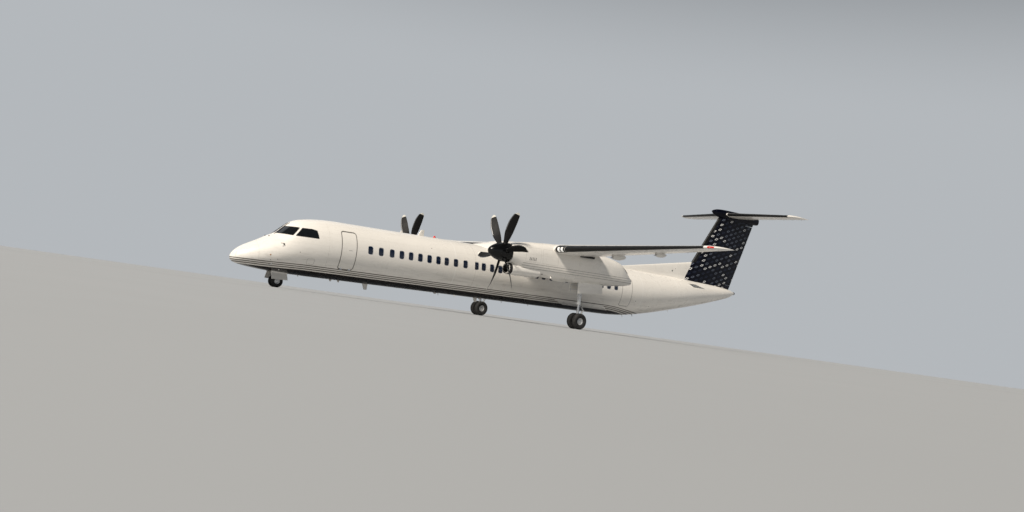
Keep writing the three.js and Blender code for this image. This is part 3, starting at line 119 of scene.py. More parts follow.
# Columns: name, outline, how far the pane starts from the middle
PANES = (("windscreen", WINDSCREEN, 0.042), ("side_window", SIDE_WINDOW, 0.4))
OUTSIDE = 1.5  # farther out than any skin

# Wing
WING_ROOT = {"s": 13.900, "chord": 2.860, "w": 1.420, "thickness": 0.175}
WING_END = {"s": 15.080, "chord": 1.230, "w": 1.890, "thickness": 0.135}
WING_CAMBER = 0.02
WING_BEND = 5.000
WING_TIP_RIB = 13.560
# Raked tip. Columns: y, leading edge, trailing edge, thickness ratio
WING_TIP = [
    [13.560, 15.078, 16.330, 0.135],
    [13.860, 15.260, 16.300, 0.125],
    [14.080, 15.560, 16.272, 0.110],
    [14.210, 15.930, 16.250, 0.070],
]
INNER_FLAP = (1.420, 3.745)
OUTER_FLAP = (5.075, 10.290)
FLAP_END_GAPS = {"inner": 0.014, "outer": 0.030}
FLAP_PIVOT = {"share": 0.7, "drop": 0.079}
AILERON = {"span": (10.370, 13.500), "hinge": 0.765, "pin": 0.013}
SURFACE_END_GAP = 0.016
INNER_FAIRINGS = (2.600,)
OUTER_FAIRINGS = (6.850, 9.800)
# Columns: distance aft of the pivot, depth below the wing, half width
FAIRING_SHAPE = [
    [-0.880, 0.010, 0.012],
    [-0.700, 0.075, 0.052],
    [-0.400, 0.165, 0.082],
    [0, 0.285, 0.092],
    [0.350, 0.330, 0.084],
    [0.700, 0.290, 0.062],
    [0.900, 0.205, 0.034],
    [0.985, 0.130, 0.010],
]
FAIRING_SPLIT = (-0.015, 0.034)
FLAP_HINGE = {"tongue": 0.016, "cheek": (0.020, 0.044), "radius": 0.024, "pocket": 0.034, "pin": 0.009}
HINGE_GAP = 0.009
# Flap nose in shares of the chord
FLAP_NOSE = [
    (0.722, -0.16), (0.706, -0.03), (0.703, -0.012), (0.71, 0.004), (0.735, 0.02), (0.775, 0.03),
    (0.83, 0.037),
]

# Fairing over the wing's root. Columns: station, half width, top
SADDLE = [
    [12.500, 0.260, 1.372],
    [13.150, 0.720, 1.510],
    [13.800, 1.010, 1.690],
    [14.800, 1.120, 1.800],
    [16.300, 1.120, 1.740],
    [17.200, 0.930, 1.570],
    [18.200, 0.560, 1.430],
    [18.800, 0.200, 1.370],
]
SADDLE_BASE = 1.000

# Nacelles
NACELLE_Y = 4.400
# Columns: station, top, bottom, half width, corner sharpness
NACELLE = [
    [11.665, 1.385, 0.475, 0.455, 2],
    [11.900, 1.450, 0.400, 0.500, 2.1],
    [12.400, 1.540, 0.200, 0.550, 2.3],
    [13.200, 1.610, 0.060, 0.575, 2.6],
    [14.300, 1.665, -0.010, 0.580, 2.9],
    [15.600, 1.640, -0.030, 0.580, 3],
    [16.800, 1.560, -0.010, 0.575, 2.9],
    [17.600, 1.465, 0.040, 0.545, 2.7],
    [18.340, 1.282, 0.104, 0.488, 3.0],
    [18.430, 1.215, 0.112, 0.478, 3.2],
    [18.800, 0.880, 0.165, 0.410, 3.4],
    [19.170, 0.545, 0.245, 0.300, 3.2],
]
INTAKE = [
    [11.640, 0.435, -0.045, 0.300, 2.3],
    [11.780, 0.470, -0.070, 0.335, 2.3],
    [12.400, 0.520, -0.070, 0.400, 2.3],
    [13.300, 0.500, -0.060, 0.470, 2.4],
]
INTAKE_LIP = 0.048
INTAKE_DEPTH = 0.620
INTAKE_THROAT = (0.40, 0.09, 0.20, 2.3)
# Rings of the black lip round the intake's mouth. Columns: inset, station
LIP_RINGS = [
    (0, 11.80), (-0.003, 11.72), (-0.002, 11.655), (0.012, 11.638), (0.034, 11.640), (0.047, 11.668),
    (0.050, 11.80),
]
# Stations of extra rings where the nacelle's rear slopes down
NACELLE_BREAK = (18.34, 18.385, 18.43)
# The nacelle's sloping rear face lies where height + slope * station is the face's value
EXHAUST = {
    "w": 0.850, "radius": 0.235, "from": 17.850, "to": 19.6, "rise": 0.140,
    "proud": 0.085, "slope": 0.905, "face": 17.894,
}

# Propellers
PROPELLER = {
    "disc": 11.320, "w": 0.930, "blades": 6, "first": 8.5,
    "tip": 10.530, "back": 11.625, "radius": 0.450,
    "hub": 0.250, "hub_back": -0.26965, "shaft": 0.100, "shaft_end": 12.149,
}
# Columns: radius, chord, thickness, blade angle in degrees, sweep back along the rotation
BLADE = [
    [0.230, 0.170, 0.130, 62, 0],
    [0.600, 0.250, 0.070, 58, 0.008],
    [0.850, 0.345, 0.048, 53, 0.018],
    [1.150, 0.400, 0.036, 48.5, 0.010],
    [1.450, 0.405, 0.028, 44.5, -0.020],
    [1.880, 0.305, 0.017, 39.5, -0.125],
    [2.045, 0.110, 0.009, 37, -0.205],
]

BLADE_STEPS = [0, 0.015, 0.05, 0.11, 0.2, 0.32, 0.46, 0.6, 0.74, 0.87, 0.96, 1]
EROSION_SPAN = (1.0, 1.94)
CUFF = {"reach": (0.2, 0.46), "radius": 0.095, "end_radius": 0.08, "hole": 0.124}
# The blade's end is rounded from this radius on
BLADE_END_FROM = 2.0
SPINNER_FOOT = 0.060  # the pointed part ends this far behind the disc of the blades
SPINNER_SHAPE = [(0, 0), (0.02, 0.16), (0.1, 0.36), (0.3, 0.62), (0.6, 0.86), (1, 1)]

# T-tail
FIN_BASE = {"w": 1.000, "le": 26.955, "te": 31.090}
FIN_TOP = {"w": 5.420, "le": 29.715, "te": 32.720}
FIN_THICKNESS = 0.115
RUDDER = {"hinge": 0.62, "tab": 0.83, "foot": 1.330, "head": 5.085, "nose": 1.015, "pin": 0.026}
# The hinge leans aft, so a turned rudder rises at its head and leaves its foot. Gaps at foot and head
RUDDER_GAPS = (0.008, 0.026)
TRAILING_RUDDER_GAP = 0.040
DORSAL = {"from": 21.500, "to": 27.860, "top": 2.365, "half": 0.095}
TAILPLANE_ROOT = {"s": 29.950, "te": 32.310}
TAILPLANE_END = {"s": 30.740, "te": 32.270}
TAILPLANE = {
    "w": 5.540, "tip_rib": 4.290, "thickness": 0.12, "hinge": 0.665, "elevator": (0.270, 4.240), "pin": 0.020,
}
TAILPLANE_TIP = [
    [4.290, 30.712, 32.272, 0.12],
    [4.470, 30.850, 32.262, 0.11],
    [4.580, 31.090, 32.250, 0.09],
    [4.635, 31.480, 32.240, 0.05],
]
# Columns: station, top, bottom, half width, corner sharpness
BULLET = [
    [29.000, 5.615, 5.545, 0.018, 2],
    [29.150, 5.690, 5.450, 0.088, 2],
    [29.500, 5.770, 5.330, 0.168, 2],
    [30.100, 5.800, 5.255, 0.222, 2.1],
    [31.000, 5.799, 5.235, 0.232, 2.2],
    [32.000, 5.765, 5.240, 0.215, 2.3],
    [32.700, 5.725, 5.255, 0.190, 2.4],
    [32.958, 5.690, 5.275, 0.172, 2.4],
]

# Landing gear
MAIN_WHEEL = {
    "s": 16.200, "radius": 0.3937, "half": 0.124, "bead": 0.168,
    "twin": 0.212, "axle": 0.045, "half_axle": 0.26,
}
NOSE_WHEEL = {
    "s": 2.250, "radius": 0.2794, "half": 0.0825, "bead": 0.128,
    "twin": 0.152, "axle": 0.032, "half_axle": 0.1866,
}
MAIN_WELL = {"s": (15.760, 17.320), "half": 0.330, "roof": 0.520}
NOSE_WELL = {"s": (1.870, 2.650), "half": 0.285, "roof": -0.880}
DOOR_FOOT = {"front": 0.520, "rear": 0.380, "bend": 0.040, "lean": 0.055}

# The camera stands where the photograph's does, raised to just above the floor
CAMERA = {"x": 32.53, "y": 44.8, "z": 0.15, "width_px": 1024, "focal_px": 1049, "roll": -8.0}
AIM = {"yaw": -124.7, "pitch": 3.3}
# Columns: name, direction, strength, breadth in degrees, colour
SUNS = [
    ("key", (-0.68, -0.24, -0.69), 5.0, 10, (1.0, 0.93, 0.83)),
    ("back", (0.1, 0.8, -0.6), 0.25, 50, (0.95, 0.97, 1.0)),
]
FLOOR_REACH = 400
# Pale low down behind the floor, deeper overhead
SKY = {"strength": 0.60, "rise": (0.22, 0.50), "low": (0.76, 0.80, 0.84), "high": (0.10, 0.115, 0.135)}


# Tables and curves

def smooth_table(rows, warp=lambda value: value):
    """A function that gives a table's other columns at any value of its first, on smooth curves."""
    keys = [warp(row[0]) for row in rows]
    columns = list(zip(*rows))[1:]
    slopes = []
    for column in columns:
        steps = [(column[i + 1] - column[i]) / (keys[i + 1] - keys[i]) for i in range(len(keys) - 1)]
        inner = [0 if a * b <= 0 else 2 * a * b / (a + b) for a, b in zip(steps, steps[1:])]
        slopes.append([steps[0], *inner, steps[-1]])

    def row_at(value):
        key = min(max(warp(value), keys[0]), keys[-1])
        i = min(bisect_right(keys, key) - 1, len(keys) - 2)
        gap = keys[i + 1] - keys[i]
        t = (key - keys[i]) / gap
        result = []
        for column, slope in zip(columns, slopes):
            a, b = column[i], column[i + 1]
            p, q = slope[i] * gap, slope[i + 1] * gap
            result.append(a + p * t + (3 * (b - a) - 2 * p - q) * t**2 + (2 * (a - b) + p + q) * t**3)
        return result

    return row_at


def curve_through(points, steps):
    """A smooth curve through points, with a number of steps between each two."""
    points = [Vector(p) for p in points]
    ends = [2 * points[0] - points[1], *points, 2 * points[-1] - points[-2]]
    curve = []
    for a, b, c, d in zip(ends, ends[1:], ends[2:], ends[3:]):
        for k in range(steps):
            t = k / steps
            curve.append(
                0.5 * (
                    2 * b + (c - a) * t + (2 * a - 5 * b + 4 * c - d) * t**2 + (3 * b - a - 3 * c + d) * t**3
                )
            )
    return [*curve, points[-1]]


def lerp(a, b, t):
    return a + (b - a) * t


def spread(start, end, count):
    """Evenly spaced values from start to end."""
    return [start + (end - start) * i / (count - 1) for i in range(count)]


def at(s, y, w):
    """A point in the airframe's axes."""
    return Vector((-s, y, w))


# Solids

def placed(data):
    """An object in the scene that holds a mesh, lamp or camera, and has its name."""
    item = bpy.data.objects.new(data.name, data)
    bpy.context.scene.collection.objects.link(item)
    return item


def make(points, faces, finish):
    """A mesh object from points in the airframe's axes."""
    mesh = bpy.data.meshes.new("solid")
    mesh.from_pydata([STAND @ Vector(p) for p in points], [], faces)
    mesh.materials.append(finish)
    piece = placed(mesh)
    work = bmesh.new()
    work.from_mesh(mesh)
    bmesh.ops.recalc_face_normals(work, faces=work.faces)
    work.to_mesh(mesh)
    work.free()
    return piece


def loft(rings, finish, round_trip=False):
    """A closed skin through rings of the same number of points."""
    count = len(rings[0])
    points = [p for ring in rings for p in ring]
    faces = []
    last = len(rings) if round_trip else len(rings) - 1
    for r in range(last):
        here, there = r * count, (r + 1) % len(rings) * count
        for i in range(count):
            j = (i + 1) % count
            faces.append((here + i, here + j, there + j, there + i))
    if not round_trip:
        faces.append(tuple(range(count)))
        faces.append(tuple(range((len(rings) - 1) * count, len(rings) * count)))
    return make(points, faces, finish)


def block(s, y, w, finish):
    """A box between two stations, two distances to port and two heights."""
    corners = ((y[0], w[0]), (y[1], w[0]), (y[1], w[1]), (y[0], w[1]))
    return loft([[at(a, b, c) for b, c in corners] for a in s], finish)


def frame_of(direction):
    """Two directions square to one another and to the one given."""
    axis = direction.normalized()
    side = UP if abs(axis.z) < 0.9 else FORWARD
    side = (side - axis * side.dot(axis)).normalized()
    return side, axis.cross(side)


def circle(centre, direction, radius, sides):
    side, third = frame_of(direction)
    turns = [2 * math.pi * i / sides for i in range(sides)]
    return [centre + side * (radius * math.cos(a)) + third * (radius * math.sin(a)) for a in turns]


def rod(start, end, radius, finish, end_radius=None, sides=24):
    """A round bar or cone with slightly rounded ends."""
    start, end = Vector(start), Vector(end)
    axis, length = (end - start).normalized(), (end - start).length
    last = end_radius or radius
    edge = ROD_EDGE * min(radius, last)
    steps = [(0, radius - edge), (edge, radius), (length - edge, last), (length, last - edge)]
    return loft([circle(start + axis * d, axis, r, sides) for d, r in steps], finish)


def bars(place, rows):
    """Round bars, each row with its start, end, radius, finish and number of sides."""
    return [
        rod(place(*start), place(*end), radius, finish, sides=sides)
        for start, end, radius, finish, sides in rows
    ]


def tube(path, radius, finish, sides=10):
    """A round tube along points, in mesh form."""
    points = [Vector(p) for p in path]
    rings = []
    for i, p in enumerate(points):
        ahead = points[min(i + 1, len(points) - 1)] - points[max(i - 1, 0)]
        rings.append(circle(p, ahead, radius, sides))
    return loft(rings, finish)


def turned(outline, sides, centre, direction, finish):
    """A closed outline of radii and distances turned about a line."""
    axis = direction.normalized()
    side, third = frame_of(axis)
    rings = []
    for k in range(sides):
        a = 2 * math.pi * k / sides
        out = side * math.cos(a) + third * math.sin(a)
        rings.append([centre + axis * along + out * radius for radius, along in outline])
    return loft(rings, finish, round_trip=True)


def rounded(outline, radius):
    """A flat outline of stations and heights with its corners rounded."""
    steps = 6
    result = []
    count = len(outline)
    for i in range(count):
        before, here, after = (Vector(outline[(i + k) % count]) for k in (-1, 0, 1))
        back, ahead = (before - here).normalized(), (after - here).normalized()
        reach = radius / math.tan(back.angle(ahead) / 2)
        start, end = here + back * reach, here + ahead * reach
        for k in range(steps + 1):
            t = k / steps
            result.append(start * (1 - t) ** 2 + here * 2 * t * (1 - t) + end * t**2)
    return [(p.x, p.y) for p in result]


def shrunk(outline, by):
    """A flat outline moved in by a distance."""
    count = len(outline)
    area = sum(outline[i - 1][0] * outline[i][1] - outline[i][0] * outline[i - 1][1] for i in range(count))
    sign = 1 if area > 0 else -1

    def inward(a, b):
        edge = Vector(b) - Vector(a)
        return Vector((-edge.y, edge.x)).normalized() * sign

    result = []
    for i in range(count):
        before, here, after = (outline[(i + k) % count] for k in (-1, 0, 1))
        m, n = inward(before, here), inward(here, after)
        result.append(tuple(Vector(here) + (m + n) * (by / (1 + m.dot(n)))))
    return result


def prism(outline, y0, y1, finish):
    """A flat outline of stations and heights, drawn out sideways."""
    return loft([[at(s, y, w) for s, w in outline] for y in (y0, y1)], finish)


def round_box(front, rear, low, high, corner):
    """A rounded rectangle between two stations and two heights."""
    return rounded([(front, low), (rear, low), (rear, high), (front, high)], corner)


def carve(piece, operation, *tools):
    """Joins a solid to others, cuts them from it or keeps what they share, and uses the others up."""
    for tool in tools:
        change = piece.modifiers.new("carve", "BOOLEAN")
        change.operation = operation
        change.object = tool
        change.solver = "EXACT"
        change.material_mode = "TRANSFER"
    graph = bpy.context.evaluated_depsgraph_get()
    shape = bpy.data.meshes.new_from_object(piece.evaluated_get(graph))
    piece.modifiers.clear()
    old = piece.data
    piece.data = shape
    bpy.data.meshes.remove(old)
    for tool in tools:
        discard(tool)
    return piece


def discard(piece):
    mesh = piece.data
    bpy.data.objects.remove(piece)
    bpy.data.meshes.remove(mesh)


def joined(*pieces):
    """One object with the meshes of several, each keeping its finishes."""
    whole = bmesh.new()
    finishes = []
    for piece in pieces:
        part = bmesh.new()
        part.from_mesh(piece.data)
        slots = []
        for finish in piece.data.materials:
            if finish not in finishes:
                finishes.append(finish)
            slots.append(finishes.index(finish))
        start = {v: whole.verts.new(v.co) for v in part.verts}
        for face in part.faces:
            copy = whole.faces.new([start[v] for v in face.verts])
            copy.material_index = slots[face.material_index] if slots else 0
        part.free()
    mesh = bpy.data.meshes.new("solid")
    whole.to_mesh(mesh)
    whole.free()
    for finish in finishes:
        mesh.materials.append(finish)
    for piece in pieces:
        discard(piece)
    return placed(mesh)


def moved(piece, matrix, flip=False):
    """A copy of a piece under a matrix, its faces turned over where the matrix mirrors it."""
    work = bmesh.new()
    work.from_mesh(piece.data)
    bmesh.ops.transform(work, matrix=matrix, verts=work.verts)
    if flip:
        bmesh.ops.reverse_faces(work, faces=work.faces)
    mesh = bpy.data.meshes.new("solid")
    work.to_mesh(mesh)
    work.free()
    for finish in piece.data.materials:
        mesh.materials.append(finish)
    return placed(mesh)


def mirrored(piece):
    return moved(piece, Matrix.Diagonal((1, -1, 1, 1)), flip=True)


def keep(piece, name, slot, *nodes, body="airframe", corner=SHARP_CORNER):
    """Names a finished piece, shades it, hangs it on the body that carries it, and hides the CAD nodes that
    it stands for.
    """
    piece.name = piece.data.name = name
    piece.data.shade_smooth()
    piece.data.set_sharp_from_angle(angle=math.radians(corner))
    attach(piece, body)
    if nodes:
        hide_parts(*nodes)
    return piece


def keep_pair(piece, name, slot, node=None, body="airframe", corner=SHARP_CORNER):
    """A port piece, and its mirror image to starboard. The body is the airframe or one of a pair."""
    for side, solid in (("port", piece), ("starboard", mirrored(piece))):
        own_body = body if body == "airframe" else f"{side}_{body}"
        nodes = [f"{side}_{node}"] if node else []
        keep(solid, f"{side}_{name}", slot, *nodes, body=own_body, corner=corner)


# Node tools for the finishes

def maths(operation):
    """A sum of values, done by a node."""
    return lambda *values: calc(operation, *values)


class Value:
    """What a node gives out, used in sums like a number."""

    def __init__(self, socket):
        self.socket = socket

    def to(self, socket):
        """Feeds this value to the input of another node."""
        socket.id_data.links.new(self.socket, socket)

    __add__ = maths("ADD")
    __sub__ = maths("SUBTRACT")
    __mul__ = maths("MULTIPLY")
    __truediv__ = maths("DIVIDE")
    __mod__ = maths("FLOORED_MODULO")
    __pow__ = maths("POWER")
    __gt__ = maths("GREATER_THAN")
    __abs__ = maths("ABSOLUTE")
    __floor__ = maths("FLOOR")
    __round__ = maths("ROUND")


def add(tree, kind, inputs=None, **settings):
    """A node with its settings, each input a plain value or another node's output."""
    made = tree.nodes.new(kind)
    for key, value in settings.items():
        setattr(made, key, value)
    for key, value in (inputs or {}).items():
        if isinstance(value, Value):
            value.to(made.inputs[key])
        else:
            made.inputs[key].default_value = value
    return made


def value_of(tree, kind, inputs=None, which=0, **settings):
    return Value(add(tree, kind, inputs, **settings).outputs[which])


def tree_of(*values):
    """The node tree that values belong to."""
    return next(v.socket.id_data for v in values if isinstance(v, Value))


def calc(operation, *values):
    return value_of(tree_of(*values), "ShaderNodeMath", dict(enumerate(values)), operation=operation)


def blend(share, first, second):
    """Mixes two colours by a share."""
    first, second = ((*c, 1) if isinstance(c, tuple) else c for c in (first, second))
    return value_of(
        tree_of(share), "ShaderNodeMix", {"Factor": share, 6: first, 7: second}, 2, data_type="RGBA"
    )


def ramp(value, low, high, start=0.0, end=1.0):
    """A value remapped smoothly from low..high to start..end."""
    inputs = {"Value": value, "From Min": low, "From Max": high, "To Min": start, "To Max": end}
    return value_of(tree_of(value), "ShaderNodeMapRange", inputs, interpolation_type="SMOOTHSTEP")


def all_of(*masks):
    """The strongest of several masks."""
    result = masks[0]
    for mask in masks[1:]:
        result = calc("MAXIMUM", result, mask)
    return result


def length_of(a, b):
    return calc("SQRT", a * a + b * b)


def from_nearest(value, pitch):
    """The distance from a value to the nearest whole multiple of a pitch."""
    steps = value / pitch
    return abs(steps - round(steps)) * pitch


def object_place(tree):
    return value_of(tree, "ShaderNodeTexCoord", which="Object")


def noise(place, scale, detail):
    return value_of(tree_of(place), "ShaderNodeTexNoise", {"Vector": place, "Scale": scale, "Detail": detail})


def group_of(name, inputs, outputs):
    """An empty node group with named inputs and outputs."""
    tree = bpy.data.node_groups.new(name, "ShaderNodeTree")
    for label, default in inputs.items():
        socket = tree.interface.new_socket(label, in_out="INPUT", socket_type="NodeSocketFloat")
        socket.default_value = default
    for label in outputs:
        tree.interface.new_socket(label, in_out="OUTPUT", socket_type="NodeSocketFloat")
    given = {socket.name: Value(socket) for socket in tree.nodes.new("NodeGroupInput").outputs}
    return tree, given, tree.nodes.new("NodeGroupOutput").inputs


def use(tree, group, **values):
    """A group placed in a material, its inputs given by name with underscores for spaces."""
    inputs = {key.replace("_", " "): value for key, value in values.items()}
    return {
        socket.name: Value(socket) for socket in add(tree, "ShaderNodeGroup", inputs, node_tree=group).outputs
    }


def airframe_place_group():
    """Where a point of the surface is: station, distance to port and height, in metres."""
    tree, _, out = group_of("Airframe place", {}, ["Station", "Side", "Height"])
    # The stand undone: first the move, then the turn
    corner = (NOSE_TO_CENTRE, 0, AXIS_HEIGHT_AT_NOSE)
    shifted = value_of(tree, "ShaderNodeVectorMath", {0: object_place(tree), 1: corner}, operation="SUBTRACT")
    turn = {"Vector": shifted, "Angle": -NOSE_DOWN}
    turned_back = value_of(tree, "ShaderNodeVectorRotate", turn, rotation_type="Y_AXIS")
    x, y, z = (Value(socket) for socket in add(tree, "ShaderNodeSeparateXYZ", {0: turned_back}).outputs)
    (x * -1).to(out["Station"])
    y.to(out["Side"])
    z.to(out["Height"])
    return tree


def stripe_group():
    """1 between two values of a coordinate, with soft edges."""
    tree, given, out = group_of("Stripe", {"Value": 0, "Low": 0, "High": 1, "Softness": 0.004}, ["Mask"])
    low, high, half = given["Low"], given["High"], given["Softness"] * 0.5
    rise = ramp(given["Value"], low - half, low + half)
    (rise * ramp(given["Value"], high - half, high + half, 1, 0)).to(out["Mask"])
    return tree


def seams_group():
    """Thin lines at equal steps of a coordinate."""
    tree, given, out = group_of(
        "Panel seams", {"Value": 0, "Pitch": 1, "Offset": 0, "Width": 0.006}, ["Mask"]
    )
    distance = from_nearest(given["Value"] - given["Offset"], given["Pitch"])
    ramp(distance, 0, given["Width"], 1, 0).to(out["Mask"])
    return tree


def rivet_group():
    """Rows of small round heads beside seams that stand at equal steps."""
    inputs = {
        "Value": 0, "Across": 0, "Pitch": 1, "Offset": 0, "Inset": 0.02, "Spacing": 0.035, "Radius": 0.004
    }
    tree, given, out = group_of("Rivets", inputs, ["Mask"])
    from_row = from_nearest(given["Value"] - given["Offset"], given["Pitch"]) - given["Inset"]
    away = length_of(from_row, from_nearest(given["Across"], given["Spacing"]))
    ramp(away, given["Radius"] * 0.6, given["Radius"], 1, 0).to(out["Mask"])
    return tree


def hatch_group():
    """The outline of a hatch or door with rounded corners."""
    inputs = {
        "Along": 0, "Up": 0, "Middle along": 0, "Middle up": 0, "Half length": 0.3, "Half height": 0.5,
        "Corner": 0.08, "Line": 0.012,
    }
    tree, given, out = group_of("Hatch outline", inputs, ["Line"])
    past = [
        abs(given[value] - given[middle]) - given[half] + given["Corner"]
        for value, middle, half in (
            ("Along", "Middle along", "Half length"), ("Up", "Middle up", "Half height")
        )
    ]
    outside = length_of(*[calc("MAXIMUM", p, 0) for p in past])
    distance = outside + calc("MINIMUM", calc("MAXIMUM", *past), 0) - given["Corner"]
    ramp(abs(distance), given["Line"] * 0.5, given["Line"] * 0.8, 1, 0).to(out["Line"])
    return tree


def wear_group():
    """Slow changes of shade, streaks that run aft, and a fine ripple of the skin."""
    inputs = {"Station": 0, "Side": 0, "Height": 0, "Size": 1}
    tree, given, out = group_of("Paint wear", inputs, ["Shade", "Streaks", "Gloss", "Ripple"])

    def stretched_noise(stretch, scale, detail):
        place = {0: given["Station"] * stretch, 1: given["Side"], 2: given["Height"]}
        return noise(
            value_of(tree, "ShaderNodeCombineXYZ", place), calc("DIVIDE", scale, given["Size"]), detail
        )

    stretched_noise(1, 0.7, 4).to(out["Shade"])
    ramp(stretched_noise(0.10, 9, 5), 0.48, 0.78).to(out["Streaks"])
    stretched_noise(0.6, 3.5, 6).to(out["Gloss"])
    stretched_noise(0.8, 2.2, 2).to(out["Ripple"])
    return tree


PLACE = airframe_place_group()
STRIPE = stripe_group()
SEAMS = seams_group()
RIVETS = rivet_group()
HATCH = hatch_group()
WEAR = wear_group()


def stripe(value, low, width, softness):
    return use(tree_of(value), STRIPE, Value=value, Low=low, High=low + width, Softness=softness)["Mask"]


def seams_at(value, pitch, offset, width):
    return use(tree_of(value), SEAMS, Value=value, Pitch=pitch, Offset=offset, Width=width)["Mask"]


def rivets_at(value, across, pitch, offset):
    return use(tree_of(value), RIVETS, Value=value, Across=across, Pitch=pitch, Offset=offset)["Mask"]


def hatch(along, up, middle_along, middle_up, half_length, half_height, corner, line):
    return use(
        tree_of(along), HATCH, Along=along, Up=up, Middle_along=middle_along, Middle_up=middle_up,
        Half_length=half_length, Half_height=half_height, Corner=corner, Line=line,
    )["Line"]


def new_finish(name, **constants):
    """A material with one Principled shader, and the constant values set on its own sockets."""
    material = bpy.data.materials.new(name)
    material.use_nodes = True
    tree = material.node_tree
    tree.nodes.clear()
    shader = tree.nodes.new("ShaderNodeBsdfPrincipled")
    Value(shader.outputs[0]).to(tree.nodes.new("ShaderNodeOutputMaterial").inputs["Surface"])
    for key, value in constants.items():
        shader.inputs[key.replace("_", " ")].default_value = value
    return material, tree, shader


def place_and_wear(tree, size=1.0):
    place = use(tree, PLACE)
    return place, use(tree, WEAR, Size=size, **place)


def set_looks(shader, colour, roughness, height, strength, depth):
    """Feeds a shader its colour, its gloss and the heights of its relief."""
    colour.to(shader.inputs["Base Color"])
    roughness.to(shader.inputs["Roughness"])
    relief = {"Strength": strength, "Distance": depth, "Height": height}
    value_of(shader.id_data, "ShaderNodeBump", relief).to(shader.inputs["Normal"])


WARM_WHITE = (0.80, 0.765, 0.71)
WING_TINT = (0.74, 0.715, 0.68)
SHADED_WHITE = (0.73, 0.695, 0.645)
PALE_LINE = (0.86, 0.84, 0.80)
LINE_BROWN = (0.040, 0.029, 0.021)
BELLY_DARK = (0.010, 0.0065, 0.0045)
GRIME_AND_SHADE = (0.30, 0.27, 0.23)
HEAT_STAIN = (0.22, 0.19, 0.16)
BURNT_EDGE = (0.008, 0.0065, 0.006)
# Where the first frame and the first lengthwise joint stand
FIRST_RIB = 1.0
FIRST_LINE = 0.11
NO_DIRT_AND_SHADE = -9.0  # a height below the whole airframe


def white_paint(
    name, rib_pitch, line_pitch, across="Height", dirt_and_shade_below=NO_DIRT_AND_SHADE, extra=None, tint=WARM_WHITE
):
    """Glossy warm white with riveted skin joints both ways, soft changes of shade, and streaks of dirt that
    darken more towards the bottom, there partly as painted shade.
    """
    material, tree, shader = new_finish(name, Coat_Weight=0.35, Coat_Roughness=0.06, Specular_IOR_Level=0.5)
    place, wear = place_and_wear(tree)
    station, other = place["Station"], place[across]
    seams = all_of(
        seams_at(station, rib_pitch, FIRST_RIB, 0.006), seams_at(other, line_pitch, FIRST_LINE, 0.005)
    )
    rivets = all_of(
        rivets_at(station, other, rib_pitch, FIRST_RIB), rivets_at(other, station, line_pitch, FIRST_LINE)
    )
    colour = blend(wear["Shade"], SHADED_WHITE, tint)
    colour = blend(all_of(seams, rivets) * 0.26, colour, GRIME_AND_SHADE)
    # Streaks darken more towards the bottom: dirt, and painted shade for the lower side
    low_dirt_and_shade = wear["Streaks"] * ramp(place["Height"], dirt_and_shade_below, dirt_and_shade_below + 1.2, 0.45, 0.06)
    colour = blend(low_dirt_and_shade, colour, GRIME_AND_SHADE)
    lines = seams
    if extra:
        colour, lines = extra(*place.values(), colour, seams)
    set_looks(
        shader, colour, ramp(wear["Gloss"], 0.3, 0.7, 0.24, 0.40), wear["Ripple"] * 0.8 - lines, 0.25, 0.003
    )
    return material


# Thin dark lines along the lower fuselage. Columns: low edge, width
PIN_LINES = [(-0.868, 0.040), (-0.952, 0.040), (-1.036, 0.044)]
BELLY_TOP = -1.085
BELLY_PAINT_END = 24.6
PALE_RINGS = (10.78, 23.10, 25.98, 29.40)
DARK_RING = 11.95
# Small dark ports. Columns: side, station, height, radius
SPOTS = [
    (1, 9.45, 0.75, 0.026),
    (1, 22.70, -0.42, 0.030), (1, 2.73, -0.31, 0.022), (-1, 2.73, -0.31, 0.022), (1, 23.90, -0.62, 0.024),
    (-1, 23.90, -0.62, 0.024), (1, 3.35, 0.52, 0.016), (-1, 3.35, 0.52, 0.016),
]
# Hatches drawn on the skin. Columns: side, station, height, half length, half height, corner, line
HATCHES = [
    (1, 21.94, -0.02, 0.36, 0.75, 0.12, 0.020),
    (-1, 21.94, 0.03, 0.36, 0.78, 0.12, 0.020),
    (-1, 5.30, 0.10, 0.30, 0.56, 0.12, 0.016),
    (-1, 24.30, 0.20, 0.46, 0.52, 0.09, 0.012),
    (1, 3.30, -0.66, 0.17, 0.12, 0.04, 0.007),
    (-1, 2.75, -0.62, 0.24, 0.17, 0.04, 0.007),
]
# The line round the passenger door lies this far outside its opening
DOORWAY_RIM = 0.012
DOORWAY = (
    (DOOR["front"] + DOOR["rear"]) / 2, (DOOR["sill"] + DOOR["head"]) / 2,
    (DOOR["rear"] - DOOR["front"]) / 2 + DOORWAY_RIM, (DOOR["head"] - DOOR["sill"]) / 2 + DOORWAY_RIM,
    DOOR["corner"] + DOORWAY_RIM, 0.032,
)


